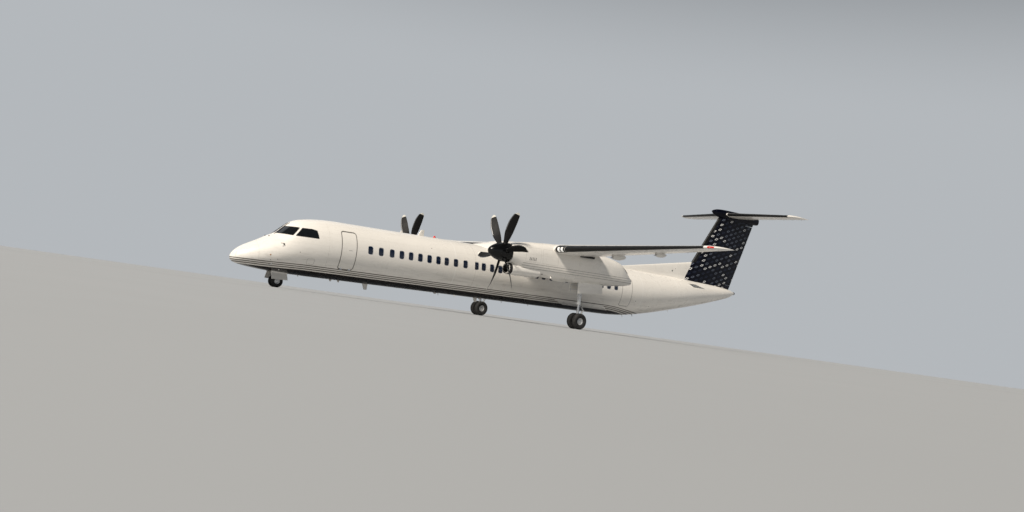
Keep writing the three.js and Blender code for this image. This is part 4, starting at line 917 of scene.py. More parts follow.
def fuselage_livery(station, side, height, colour, seams):
    """Dark belly, three thin lines above it, rings, small ports, and the outlines of doors and hatches."""
    # The lines lie lower on the nose, and aft of the barrel they run down into the rising belly
    sink = ramp(station, 20.6, BELLY_PAINT_END, 0, -0.30)
    lift = ramp(station, 1.0, 3.4, -0.050, 0)
    level = height - lift - sink
    ahead = ramp(station, BELLY_PAINT_END - 0.6, BELLY_PAINT_END, 1, 0)
    belly = ramp(level, BELLY_TOP - 0.004, BELLY_TOP + 0.004, 1, 0) * ahead
    lines = all_of(*[stripe(level, low, width, 0.010) for low, width in PIN_LINES]) * ahead
    outlines = [hatch(station, height, *row) * (side * which > 0) for which, *row in HATCHES]
    drawn = all_of(*outlines, hatch(station, height, *DOORWAY) * (side > 0))
    spots = []
    for which, middle, rise, radius in SPOTS:
        away = calc("SQRT", (station - middle) ** 2 + (height - rise) ** 2)
        spots.append(ramp(away, radius * 0.8, radius, 1, 0) * (side * which > 0))
    for mask, strength, paint in (
        (all_of(*[stripe(station, s, 0.032, 0.008) for s in PALE_RINGS]), 0.7, PALE_LINE),
        (stripe(station, DARK_RING, 0.012, 0.008), 0.55, GRIME_AND_SHADE),
        (lines, 0.95, LINE_BROWN),
        (all_of(drawn, *spots), 0.8, LINE_BROWN),
    ):
        colour = blend(mask * strength, colour, paint)
    return blend(belly, colour, BELLY_DARK), all_of(seams, drawn)


# Lines along the wing, in shares of the chord
SPAR_LINES = (0.145, 0.60, 0.925)
SPOILERS = {"front": 0.60, "rear": 0.70, "pitch": 1.30}
# Tank covers under the wing: their pitch along it, and their outlines as in the columns of the hatches
COVER_PITCH = 0.86
COVER = (0.43, 0.37, 0.20, 0.055, 0.050, 0.006)


def wing_livery(station, side, height, colour, seams):
    """Lines at fixed shares of the chord, the spoilers' outlines on top and oval tank covers beneath."""
    out = abs(side)
    t = calc("MAXIMUM", (out - WING_BEND) / (WING_TIP_RIB - WING_BEND), 0)
    edge, chord, middle = (
        t * (WING_END[key] - WING_ROOT[key]) + (WING_ROOT[key] + rise)
        for key, rise in (("s", 0), ("chord", 0), ("w", 0.03))
    )
    share = (station - edge) / chord
    above = height > middle
    spars = [stripe(share, x, 0.0022, 0.001) for x in SPAR_LINES]
    depth = SPOILERS["rear"] - SPOILERS["front"]
    ends = seams_at(out, SPOILERS["pitch"], 0.0, 0.010) * stripe(share, SPOILERS["front"], depth, 0.002)
    spoilers = all_of(ends, stripe(share, SPOILERS["rear"] - 0.002, 0.004, 0.001)) * above
    covers = hatch(out % COVER_PITCH, share, *COVER) * calc("SUBTRACT", 1, above)
    drawn = all_of(*spars, spoilers, covers)
    return blend(drawn * 0.42, colour, GRIME_AND_SHADE), all_of(seams, drawn)


# The nacelle's lines start at a station. Columns of its hatches: station, height, half length, half height
NACELLE_LINES_FROM = 12.2
NACELLE_LINES = (0.33, 0.44, 0.55)
NACELLE_HATCHES = [(12.75, 0.98, 0.42, 0.34), (13.75, 0.98, 0.46, 0.34), (15.1, 0.20, 0.30, 0.12)]


def nacelle_livery(station, _, height, colour, seams):
    """Three thin lines along the lower side, hatches, heat stain behind the exhaust and its burnt edge."""
    lines = all_of(*[stripe(height, low, 0.016, 0.006) for low in NACELLE_LINES])
    lines = lines * ramp(station, NACELLE_LINES_FROM, NACELLE_LINES_FROM + 0.05)
    drawn = all_of(*[hatch(station, height, *row, 0.06, 0.009) for row in NACELLE_HATCHES])
    stain = ramp(station, 18.0, 19.1) * ramp(height, 0.4, 1.1, 0.0, 0.35)
    level = height + station * EXHAUST["slope"]
    burnt = ramp(level, EXHAUST["face"] - 0.105, EXHAUST["face"] - 0.090) * ramp(station, 18.40, 18.42)
    colour = blend(drawn * 0.45, blend(lines * 0.85, colour, LINE_BROWN), GRIME_AND_SHADE)
    return blend(burnt, blend(stain, colour, HEAT_STAIN), BURNT_EDGE), all_of(seams, drawn)


NAVY = (0.0007, 0.0009, 0.0040)
PALER_NAVY = (0.0013, 0.0017, 0.0065)
NAVY_SEAM = (0.05, 0.055, 0.07)
# Columns: the chance that each shade starts at, the shade
DASH_COLOURS = [(0.0, (0.62, 0.62, 0.62)), (0.24, (0.095, 0.11, 0.145)), (0.55, (0.016, 0.021, 0.040))]
LOZENGE = {"length": 0.43, "height": 0.25, "half_length": 0.36, "half_height": 0.27, "slope": 20}


def lozenges(tree, station, height):
    """Staggered, sloping rows of lozenge outlines, and the shade of each."""
    slope = math.radians(LOZENGE["slope"])
    along = station * math.cos(slope) + height * math.sin(slope)
    row = (height * math.cos(slope) - station * math.sin(slope)) / LOZENGE["height"]
    row_number = math.floor(row)
    column = along / LOZENGE["length"] + row_number % 2 * 0.5
    column_number = math.floor(column)
    off_column, off_row = abs(column - column_number - 0.5), abs(row - row_number - 0.5)
    reach = off_column / LOZENGE["half_length"] + off_row / LOZENGE["half_height"]
    cell = value_of(tree, "ShaderNodeCombineXYZ", {0: column_number, 1: row_number})
    chance = value_of(tree, "ShaderNodeTexWhiteNoise", {"Vector": cell}, noise_dimensions="2D")
    shades = add(tree, "ShaderNodeValToRGB", {"Fac": chance})
    scale = shades.color_ramp
    scale.interpolation = "CONSTANT"
    for i, (start, shade) in enumerate(DASH_COLOURS):
        mark = scale.elements[i] if i < 2 else scale.elements.new(start)
        mark.position, mark.color = start, (*shade, 1)
    return ramp(reach, 0.95, 1.05, 1, 0) * ramp(reach, 0.50, 0.58), Value(shades.outputs[0])


def navy_paint(name, patterned):
    """Glossy navy, with staggered rows of lozenges in white, grey and blue-grey where it is patterned."""
    material, tree, shader = new_finish(name, Coat_Weight=0.02, Coat_Roughness=0.10, Specular_IOR_Level=0.14)
    place, wear = place_and_wear(tree)
    station, height = place["Station"], place["Height"]
    colour = blend(wear["Shade"], NAVY, PALER_NAVY)
    seams = all_of(seams_at(station, 2.9, 0.3, 0.006), seams_at(height, 1.35, 0.45, 0.006))
    if patterned:
        mask, shade = lozenges(tree, station, height)
        colour = blend(mask, colour, shade)
    colour = blend(seams * 0.5, colour, NAVY_SEAM)
    set_looks(
        shader, colour, ramp(wear["Gloss"], 0.3, 0.7, 0.26, 0.40), wear["Ripple"] * 0.7 - seams, 0.22, 0.003
    )
    return material


def plain_finish(
    name, colour, rubbed, gloss, scale, bump=0.15, metal=0.0, coat=0.0, stretch=(1, 1, 1), shine=0.5
):
    """A colour that varies over the surface with rubbed places, a range of gloss and a fine grain."""
    looks = {"Metallic": metal, "Coat_Weight": coat, "Coat_Roughness": 0.08, "Specular_IOR_Level": shine}
    material, tree, shader = new_finish(name, **looks)
    place = value_of(tree, "ShaderNodeMapping", {"Vector": object_place(tree), "Scale": stretch})
    broad, fine = noise(place, scale, 5), noise(place, scale * 14, 3)
    shade = blend(ramp(broad, 0.42, 0.72), colour, rubbed)
    set_looks(shader, shade, ramp(broad * 0.6 + fine * 0.4, 0.35, 0.65, *gloss), fine, bump, 0.001)
    return material


def boot_rubber(name):
    """Black rubber with the shallow tubes of a de-icing boot along it and a chalky bloom."""
    material, tree, shader = new_finish(name, Specular_IOR_Level=0.25)
    _, wear = place_and_wear(tree, 0.6)
    waves = {"Vector": object_place(tree), "Scale": 3.2}
    tubes = value_of(tree, "ShaderNodeTexWave", waves, 1, bands_direction="Z")
    colour = blend(wear["Streaks"], (0.006, 0.006, 0.0065), (0.016, 0.0155, 0.015))
    set_looks(shader, colour, ramp(wear["Gloss"], 0.3, 0.7, 0.30, 0.48), tubes, 0.12, 0.004)
    return material


def glass(name, colour, roughness, transmission=0.0):
    """Dark glass with a faint film that changes its gloss."""
    looks = {"Transmission_Weight": transmission, "Coat_Weight": 0.25, "Coat_Roughness": 0.02, "IOR": 1.45}
    material, tree, shader = new_finish(name, **looks)
    film = noise(object_place(tree), 4.0, 4)
    shade = blend(film, colour, tuple(c * 1.7 + 0.004 for c in colour))
    set_looks(shader, shade, ramp(film, 0.3, 0.7, roughness, roughness * 3), film, 0.03, 0.001)
    return material


def lamp_glass(name, colour, glow):
    """A lamp's lens: ribbed, coloured and a little bright."""
    material, tree, shader = new_finish(name, Coat_Weight=0.8, Coat_Roughness=0.03, Emission_Strength=glow)
    ribs = value_of(tree, "ShaderNodeTexWave", {"Vector": object_place(tree), "Scale": 30}, 1)
    shade = blend(ribs, tuple(c * 0.6 for c in colour), colour)
    shade.to(shader.inputs["Emission Color"])
    set_looks(shader, shade, ramp(ribs, 0, 1, 0.08, 0.16), ribs, 0.2, 0.002)
    return material


# The blade's bands by distance from the hub. Columns: from, to, colour
TIP_BAND = (1.955, 3.0, (0.62, 0.60, 0.55))
ROOT_BOOT = (0.40, 0.98, (0.010, 0.010, 0.011))


def blade_finish(name):
    """Satin black composite, a grey tip band and a black rubber boot at the root."""
    material, tree, shader = new_finish(name, Specular_IOR_Level=0.12)
    place, wear = place_and_wear(tree, 0.25)
    radius = length_of(abs(place["Side"]) - NACELLE_Y, place["Height"] - PROPELLER["w"])
    colour = blend(wear["Shade"], (0.006, 0.006, 0.0065), (0.008, 0.0078, 0.0076))
    colour = blend(wear["Streaks"] * 0.03, colour, (0.06, 0.056, 0.052))
    for start, end, paint in (TIP_BAND, ROOT_BOOT):
        band = stripe(radius, start, end - start, 0.006)
        colour = blend(band, colour, paint)
    set_looks(shader, colour, ramp(wear["Gloss"], 0.3, 0.7, 0.50, 0.55) + band * 0.15, band, 0.2, 0.002)
    return material


def tyre_finish(name):
    """Black rubber, dusty on the shoulders, with a fine grain."""
    material, tree, shader = new_finish(name, Specular_IOR_Level=0.3)
    place = object_place(tree)
    dust, grain = noise(place, 9, 6), noise(place, 160, 2)
    colour = blend(ramp(dust, 0.45, 0.85), (0.015, 0.015, 0.015), (0.034, 0.032, 0.030))
    set_looks(shader, colour, ramp(grain, 0.3, 0.7, 0.72, 0.9), grain, 0.25, 0.001)
    return material


# The fuselage and nacelle whites grow darker towards the bottom from the given heights down: dirt, and
# painted shade
FUSELAGE_WHITE = white_paint("fuselage_white", 3.05, 0.62, dirt_and_shade_below=-1.1, extra=fuselage_livery)
WING_WHITE = white_paint("wing_white", 90, 0.78, across="Side", extra=wing_livery, tint=WING_TINT)
TAIL_WHITE = white_paint("tail_white", 0.79, 0.92, across="Side", tint=WING_TINT)
NACELLE_WHITE = white_paint("nacelle_white", 1.32, 0.9, dirt_and_shade_below=-0.4, extra=nacelle_livery)
TRIM_WHITE = white_paint("trim_white", 2.30, 1.4)
FIN_NAVY = navy_paint("fin_navy", True)
BULLET_NAVY = navy_paint("bullet_navy", False)
BOOT_RUBBER = boot_rubber("boot_rubber")
BLADE_BLACK = blade_finish("blade_black")
SPINNER_BLACK = plain_finish(
    "spinner_black", (0.0025, 0.0025, 0.0028), (0.005, 0.0048, 0.0046), (0.16, 0.24), 3, 0.03, shine=0.28
)
FITTING_BLACK = plain_finish(
    "fitting_black", (0.008, 0.008, 0.0085), (0.020, 0.0195, 0.019), (0.35, 0.6), 12, shine=0.3
)
SEAL_RUBBER = plain_finish("seal_rubber", (0.020, 0.020, 0.021), (0.045, 0.043, 0.041), (0.6, 0.8), 15)
COCKPIT_GLASS = glass("cockpit_glass", (0.004, 0.005, 0.006), 0.03, transmission=0.25)
CABIN_GLASS = glass("cabin_glass", (0.0014, 0.0055, 0.018), 0.06)
CABIN_TRIM = plain_finish("cabin_trim", (0.055, 0.055, 0.060), (0.085, 0.082, 0.080), (0.55, 0.75), 6)
CABIN_PALE = plain_finish("cabin_pale", (0.52, 0.50, 0.46), (0.44, 0.42, 0.39), (0.5, 0.7), 5)
STEP_GREY = plain_finish("step_grey", (0.22, 0.225, 0.23), (0.34, 0.34, 0.34), (0.5, 0.8), 25, 0.5)
ENGINE_CASTING = plain_finish(
    "engine_casting", (0.32, 0.33, 0.34), (0.22, 0.22, 0.23), (0.4, 0.6), 8, metal=0.9
)
WELL_PRIMER = plain_finish("well_primer", (0.30, 0.32, 0.29), (0.20, 0.21, 0.19), (0.5, 0.75), 7)
GEAR_GREY = plain_finish("gear_grey", (0.60, 0.61, 0.62), (0.48, 0.48, 0.48), (0.25, 0.45), 11, coat=0.3)
WHEEL_ALLOY = plain_finish("wheel_alloy", (0.58, 0.59, 0.60), (0.42, 0.42, 0.42), (0.25, 0.45), 16, metal=0.6)
BRIGHT_STEEL = plain_finish(
    "bright_steel", (0.62, 0.62, 0.63), (0.50, 0.50, 0.51), (0.10, 0.25), 20, metal=1.0
)
EXHAUST_METAL = plain_finish(
    "exhaust_metal", (0.20, 0.17, 0.15), (0.10, 0.085, 0.08), (0.35, 0.6), 5, metal=0.9, stretch=(0.4, 1, 1)
)
BURNT_STEEL = plain_finish(
    "burnt_steel", (0.010, 0.008, 0.007), (0.026, 0.021, 0.018), (0.5, 0.7), 9, shine=0.3
)
DUCT_DARK = plain_finish("duct_dark", (0.018, 0.015, 0.012), (0.034, 0.027, 0.021), (0.5, 0.7), 6)
EROSION_STRIP = plain_finish(
    "erosion_strip", (0.20, 0.20, 0.205), (0.16, 0.16, 0.16), (0.32, 0.42), 3, 0.05, metal=0.9
)
TYRE_RUBBER = tyre_finish("tyre_rubber")
RED_LENS = lamp_glass("red_lens", (0.62, 0.03, 0.02), 0.15)
GREEN_LENS = lamp_glass("green_lens", (0.02, 0.45, 0.12), 0.15)
CLEAR_LENS = lamp_glass("clear_lens", (0.85, 0.84, 0.80), 0.5)
FLOOR_PALE = plain_finish("floor_pale", (0.35, 0.36, 0.37), (0.338, 0.348, 0.358), (0.75, 0.85), 0.05, 0.0)
AMBER_SPOT = plain_finish("amber_spot", (0.30, 0.13, 0.02), (0.22, 0.09, 0.015), (0.3, 0.5), 20)


# Fuselage

fuselage_row = smooth_table(FUSELAGE, math.sqrt)


def fuselage_ring(s, allowance):
    top, bottom, half, middle = fuselage_row(s)
    ring = []
    for i in range(FUSELAGE_SIDES):
        angle = 2 * math.pi * i / FUSELAGE_SIDES
        rise = math.sin(angle)
        reach = (top - middle if rise > 0 else middle - bottom) + allowance
        ring.append(at(s, (half + allowance) * math.cos(angle), middle + reach * rise))
    return ring


def hull(start, end, allowance, finish):
    """The fuselage's form between two stations, with closer rings towards the nose."""
    marks = [start]
    while marks[-1] < end:
        step = min(0.5, max(0.006, 0.075 * math.sqrt(marks[-1])))
        marks.append(min(end, marks[-1] + step))
    if len(marks) > 2 and marks[-1] - marks[-2] < 0.02:
        del marks[-2]
    return loft([fuselage_ring(s, allowance) for s in marks], finish)


def skin_at(s, w, allowance=0.0):
    """The point on the port skin at a station and height."""
    top, bottom, half, middle = fuselage_row(s)
    reach = (top - middle if w > middle else middle - bottom) + allowance
    across = math.sqrt(max(0, 1 - ((w - middle) / reach) ** 2))
    return at(s, (half + allowance) * across, w)


def window_ring(s, radius, grow=0.0):
    """A cabin window's outline on a barrel of some radius."""
    a, b = WINDOW["length"] / 2 + grow, WINDOW["height"] / 2 + grow
    outline = round_box(s - a, s + a, -b, b, WINDOW["corner"] + grow)
    ring = []
    for station, rise in outline:
        angle = math.asin(WINDOW["w"] / BARREL_RADIUS) + rise / BARREL_RADIUS
        ring.append(at(station, radius * math.cos(angle), radius * math.sin(angle)))
    return ring


def window_cutter(s):
    return loft(
        [window_ring(s, BARREL_RADIUS - WINDOW["depth"]), window_ring(s, BARREL_RADIUS + 0.03)], SEAL_RUBBER
    )


def window_pane(s):
    """A slightly bulged pane in its own thin rim."""
    outer = window_ring(s, BARREL_RADIUS - 0.5 * WINDOW["depth"], -0.001)
    inner = window_ring(s, BARREL_RADIUS - 0.5 * WINDOW["depth"], -WINDOW["rim"])
    bulge = window_ring(s, BARREL_RADIUS - 0.35 * WINDOW["depth"], -WINDOW["rim"] - 0.03)
    return outer, inner, bulge


def both_sides(make_solid):
    port = make_solid()
    return [port, mirrored(port)]


def skin_section(name, start, end, node, cuts=()):
    """A length of fuselage with its cabin windows sunk into it."""
    section = hull(start, end, 0, FUSELAGE_WHITE)
    cutters = [c for s in CABIN_WINDOWS if start < s < end for c in both_sides(lambda: window_cutter(s))]
    tools = list(cuts)
    if cutters:
        tools.append(joined(*cutters))
    if tools:
        carve(section, "DIFFERENCE", *tools)
    return keep(section, name, "white_paint", node)


def aisle_door(ahead, behind):
    """The opening between flight deck and entrance, cut a little past both faces of the wall."""
    half = AISLE_DOOR["half"]
    between = (NOSE_SECTION_END - ahead, VESTIBULE["front"] + behind)
    return block(between, (-half, half), (DECK["floor"], AISLE_DOOR["head"]), CABIN_TRIM)


def build_nose():
    radome = hull(NOSE_POINT, RADOME_END - SEAM, 0, FUSELAGE_WHITE)
    keep(radome, "radome_skin", "white_paint", "radome")
    deck = hull(DECK["front"], NOSE_SECTION_END - 0.1, -DECK["wall"], CABIN_TRIM)
    carve(deck, "INTERSECT", block((0, 4.2), (-2, 2), (DECK["floor"], 2), CABIN_TRIM))
    aisle = aisle_door(0.3, 0.06)
    windows = []
    for _, outline, inner in PANES:
        windows += both_sides(lambda: prism(rounded(outline, SEAL["corner"]), inner, OUTSIDE, SEAL_RUBBER))
    well = block(
        NOSE_WELL["s"], (-NOSE_WELL["half"], NOSE_WELL["half"]), (-OUTSIDE, NOSE_WELL["roof"]), WELL_PRIMER
    )
    nose = hull(RADOME_END + SEAM, NOSE_SECTION_END - SEAM, 0, FUSELAGE_WHITE)
    carve(nose, "DIFFERENCE", deck, aisle, *windows, well)
    keep(nose, "nose_skin", "white_paint", "nose_fuselage")


def glass_shell(inset, thick, finish):
    """A thin shell under the skin of the flight deck."""
    shell = hull(1.5, 4.0, -inset, finish)
    return carve(shell, "DIFFERENCE", hull(1.45, 4.05, -inset - thick, finish))


def build_glazing():
    """Windscreen and side panes, each in a black seal."""
    for name, outline, inner in PANES:
        pane_outline = rounded(shrunk(outline, GLASS["seal"]), GLASS["corner"])
        edge = inner + GLASS["seal"]
        pane = glass_shell(GLASS["inset"], GLASS["thick"], COCKPIT_GLASS)
        carve(pane, "INTERSECT", prism(pane_outline, edge, OUTSIDE, COCKPIT_GLASS))
        keep_pair(pane, f"{name}_pane", "tinted_glass", name)
        seal = glass_shell(SEAL["inset"], SEAL["thick"], SEAL_RUBBER)
        seal_outline = rounded(shrunk(outline, SEAL["play"]), SEAL["corner"])
        carve(seal, "INTERSECT", prism(seal_outline, inner + SEAL["play"], OUTSIDE, SEAL_RUBBER))
        carve(seal, "DIFFERENCE", prism(pane_outline, edge - SEAL["play"], OUTSIDE + 0.1, SEAL_RUBBER))
        keep_pair(seal, f"{name}_seal", "black_paint")


def door_outline(gap, foot_gap, head_gap):
    """The passenger door's opening, or the door's own outline that lies inside it by some gaps."""
    front, rear, sill, head = (DOOR[key] for key in ("front", "rear", "sill", "head"))
    return round_box(front + gap, rear - gap, sill + foot_gap, head - head_gap, DOOR["corner"])


def build_forward_fuselage():
    room = hull(VESTIBULE["front"], VESTIBULE["rear"], -WALL, CABIN_PALE)
    carve(room, "INTERSECT", block((0, 9), (-2, 2), (CABIN_FLOOR, VESTIBULE["head"]), CABIN_PALE))
    doorway = prism(door_outline(0, 0, 0), 0.94, 1.6, SEAL_RUBBER)
    inner_doorway = block(
        (DOOR["front"], DOOR["rear"]), (0.70, 1.2), (CABIN_FLOOR, DOOR["head"] - 0.05), CABIN_PALE
    )
    carve(inner_doorway, "INTERSECT", hull(4.3, 5.8, -0.02, CABIN_PALE))
    aisle = aisle_door(0.05, 0.05)
    skin_section(
        "forward_skin", NOSE_SECTION_END + SEAM, FORWARD_SECTION_END - SEAM, "forward_fuselage",
        cuts=(room, doorway, inner_doorway, aisle),
    )
    y, w, radius = DOOR_HINGE["y"], DOOR_HINGE["w"], DOOR_HINGE["radius"]
    for i, s in enumerate(DOOR_HINGE["s"]):
        cheeks = []
        for middle in (s - 0.052, s + 0.052):
            cheeks.append(
                rod(at(middle - 0.010, y, w), at(middle + 0.010, y, w), radius + 0.003, BRIGHT_STEEL)
            )
            cheeks.append(
                block((middle - 0.010, middle + 0.010), (y - 0.07, y), (w - 0.035, w + 0.008), BRIGHT_STEEL)
            )
        cheeks.append(rod(at(s - 0.055, y, w), at(s + 0.055, y, w), 0.007, BRIGHT_STEEL))
        keep(joined(*cheeks), f"door_hinge_{i + 1}", "bright_steel")


def build_passenger_door():
    """A thick curved panel with five steps on its inside, side rails, hinge knuckles and an outer handle."""
    front, rear = DOOR["front"], DOOR["rear"]
    panel = hull(front - 0.1, rear + 0.1, 0, FUSELAGE_WHITE)
    inside = hull(front - 0.2, rear + 0.2, -DOOR["thick"], CABIN_PALE)
    carve(panel, "INTERSECT", prism(door_outline(DOOR["gap"], 0.008, 0.018), 0.6, 1.5, SEAL_RUBBER))
    carve(panel, "DIFFERENCE", inside)
    parts = [panel]
    for w in DOOR_STEPS:
        reach = math.sqrt((BARREL_RADIUS - DOOR["thick"]) ** 2 - w**2)
        parts.append(
            block((front + 0.06, rear - 0.06), (reach - 0.2, reach + 0.02), (w - 0.015, w + 0.015), STEP_GREY)
        )
    for s in (front + 0.075, rear - 0.075):
        rail = [at(s, math.sqrt(DOOR_RAIL_RADIUS**2 - w**2), w) for w in spread(-0.56, 0.56, 12)]
        parts.append(tube(rail, 0.014, BRIGHT_STEEL))
    y, w, radius = DOOR_HINGE["y"], DOOR_HINGE["w"], DOOR_HINGE["radius"]
    for s in DOOR_HINGE["s"]:
        parts.append(rod(at(s - 0.036, y, w), at(s + 0.036, y, w), radius, BRIGHT_STEEL))
        parts.append(
            block((s - 0.036, s + 0.036), (y - 0.010, y + 0.010), (w, DOOR["sill"] + 0.05), BRIGHT_STEEL)
        )
    parts.append(block(*DOOR_HANDLE, FITTING_BLACK))
    keep(joined(*parts), "passenger_door_panel", "white_paint", "passenger_door", body="entry_door")


def build_cabin_windows():
    """All the panes in their rims, as one piece."""
    solids = []
    for s in CABIN_WINDOWS:
        outer, inner, bulge = window_pane(s)
        count = len(outer)
        sunk = [p + (at(s, 0, p.z) - p).normalized() * 0.006 for p in outer]
        middle = sum(bulge, Vector()) / count
        faces = [tuple(range(3 * count, 4 * count))]
        for first, second in ((3, 0), (0, 1)):
            for i in range(count):
                j = (i + 1) % count
                faces.append((first * count + i, first * count + j, second * count + j, second * count + i))
        rim = make([*outer, *inner, *bulge, *sunk], faces[1:], GEAR_GREY)
        points = [*inner, *bulge, middle]
        pane_faces = []
        for i in range(count):
            j = (i + 1) % count
            pane_faces.append((i, j, count + j, count + i))
            pane_faces.append((count + i, count + j, 2 * count))
        pane = make(points, pane_faces, CABIN_GLASS)
        solids += [rim, pane, mirrored(rim), mirrored(pane)]
    keep(joined(*solids), "cabin_window_panes", "tinted_glass", corner=50)


def build_fuselage():
    build_nose()
    build_glazing()
    build_forward_fuselage()
    build_passenger_door()
    skin_section("centre_skin", FORWARD_SECTION_END + SEAM, CENTRE_SECTION_END - SEAM, "centre_fuselage")
    skin_section("aft_skin", CENTRE_SECTION_END + SEAM, AFT_SECTION_END - SEAM, "aft_fuselage")
    skin_section("tail_cone_skin", AFT_SECTION_END + SEAM, TAIL_END, "tail_cone")
    build_cabin_windows()


# Wing sections

CHORD_STEPS = [
    0, 0.003, 0.008, 0.016, 0.03, 0.05, 0.08, 0.12, 0.17, 0.24, 0.32, 0.41, 0.5, 0.6, 0.7, 0.8, 0.9, 1
]
BLUNT_EDGE = 0.0022


def section_half(x, thickness):
    """Half the thickness of the wing sections, as a share of the chord."""
    return 5 * thickness * (0.2969 * math.sqrt(x) - 0.126 * x - 0.3516 * x**2 + 0.2843 * x**3 - 0.1036 * x**4)


def section_points(chord, thickness, camber, shares, signs):
    """Pairs of chord and height on a wing section, over or under its middle line as each sign says."""
    points = []
    for x, sign in zip(shares, signs):
        rise = camber * 4 * x * (1 - x) + sign * (section_half(x, thickness) + BLUNT_EDGE * x)
        points.append((x * chord, rise * chord))
    return points


def section(chord, thickness, camber, steps=CHORD_STEPS):
    """A whole wing section, from the nose over the top and back underneath."""
    back = steps[:0:-1]
    return section_points(chord, thickness, camber, [*steps, *back], [1] * len(steps) + [-1] * len(back))


wing_tip_row = smooth_table(WING_TIP)


def wing_at(y):
    """Leading edge, chord, height and thickness ratio at a distance from the middle."""
    y = abs(y)
    t = max(0, (y - WING_BEND) / (WING_TIP_RIB - WING_BEND))
    w = lerp(WING_ROOT["w"], WING_END["w"], t)
    if y > WING_TIP_RIB:
        le, te, thickness = wing_tip_row(y)
        return le, te - le, w, thickness
    values = [lerp(WING_ROOT[key], WING_END[key], t) for key in ("s", "chord", "thickness")]
    return values[0], values[1], w, values[2]


def wing_ring(y):
    le, chord, w, thickness = wing_at(y)
    return [at(le + x, y, w + z) for x, z in section(chord, thickness, WING_CAMBER)]


def on_wing(y, share, rise=0.0):
    le, chord, w, _ = wing_at(y)
    return at(le + chord * share, y, w + rise)


def flap_pivot(y):
    return on_wing(y, FLAP_PIVOT["share"], -FLAP_PIVOT["drop"] * wing_at(y)[1])


def flap_space(y0, y1, allowance, finish):
    """The space that a flap fills, with its round nose."""
    nose_shape = [(p.x, p.y) for p in curve_through(FLAP_NOSE, 5)]
    rings = []
    for y in (y0, y1):
        le, chord, w, _ = wing_at(y)
        nose = [at(le + x * chord - allowance, y, w + z * chord + allowance) for x, z in nose_shape]
        rings.append([
            *nose,
            at(le + 0.86 * chord - allowance, y, w + 0.3 * chord),
            at(le + 1.2 * chord, y, w + 0.3 * chord),
            at(le + 1.2 * chord, y, w - 0.16 * chord),
        ])
    return loft(rings, finish)


def hinged_space(start, end, radii, aft, allowance, finish):
    """The space behind a hinge line with a round nose about it."""
    axis = (end - start).normalized()
    back = (aft - axis * aft.dot(axis)).normalized()
    side = axis.cross(back)
    sides = 20
    rings = []
    for centre, radius in ((start, radii[0]), (end, radii[1])):
        reach = radius + allowance
        first = math.asin(allowance / reach)
        arc = []
        for i in range(sides + 1):
            angle = math.pi / 2 + first + (math.pi - 2 * first) * i / sides
            arc.append(centre + back * (reach * math.cos(angle)) + side * (reach * math.sin(angle)))
        level = [centre + back * -allowance + side * across for across in (1.2, -1.2)]
        far = [centre + back * 4 + side * across for across in (-1.2, 1.2)]
        rings.append([level[0], *arc, level[1], *far])
    return loft(rings, finish)


def hinged(body, line, span, side_gap, clip, finish, pin):
    """Splits a body at a hinge line into the surface that turns and the part that stays."""
    (a, ra), (b, rb) = line
    longer = (b - a) * 0.35
    ends = (a - longer, b + longer)
    radii = (ra - (rb - ra) * 0.35, rb + (rb - ra) * 0.35)
    moving = copy_of(body)
    carve(moving, "INTERSECT", hinged_space(*ends, radii, AFT, 0.0, finish), clip(span[0], span[1], finish))
    space = hinged_space(*ends, radii, AFT, HINGE_GAP, SEAL_RUBBER)
    low_gap, high_gap = side_gap if isinstance(side_gap, tuple) else (side_gap, side_gap)
    carve(space, "INTERSECT", clip(span[0] - low_gap, span[1] + high_gap, SEAL_RUBBER))
    carve(body, "DIFFERENCE", space)
    pins = []
    if pin:
        axis = (b - a).normalized()
        for point, inward, gap in ((a, 1, low_gap), (b, -1, high_gap)):
            outside, inside = gap + 1.5 * pin, 2.5 * pin
            pins.append(
                rod(point - axis * (inward * outside), point + axis * (inward * inside), pin, BRIGHT_STEEL)
            )
    return moving, joined(body, *pins)


def copy_of(piece):
    return moved(piece, Matrix.Identity(4))


def y_slab(y0, y1, finish):
    return block((0, 40), (y0, y1), (-4, 9), finish)


def w_slab(w0, w1, finish):
    return block((0, 40), (-3, 3), (w0, w1), finish)


fairing_row = smooth_table(FAIRING_SHAPE)


def fairing(y, start, end, finish):
    """A pod under the wing about a flap's pivot."""
    chord = wing_at(y)[1]
    scale = chord / WING_ROOT["chord"]
    slim = lerp(1, scale, 0.5)
    start = max(start, FAIRING_SHAPE[0][0] * scale)
    end = min(end, FAIRING_SHAPE[-1][0] * scale)
    pivot = on_wing(y, FLAP_PIVOT["share"])
    rings = []
    for along in spread(start, end, 15):
        depth, half = fairing_row(along / scale)
        depth, half = depth * scale, half * slim
        past = max(0, along - chord * (1 - FLAP_PIVOT["share"]) + 0.060)
        top = max(-depth + 0.014, 0.010 - past * 0.45)
        middle, reach = (top - depth) / 2, (top + depth) / 2 * 0.96
        angles = [2 * math.pi * i / 28 for i in range(28)]
        rings.append([
            Vector((pivot.x - along, y + 0.95 * half * math.cos(a), pivot.z + middle + reach * math.sin(a)))
            for a in angles
        ])
    return loft(rings, finish)


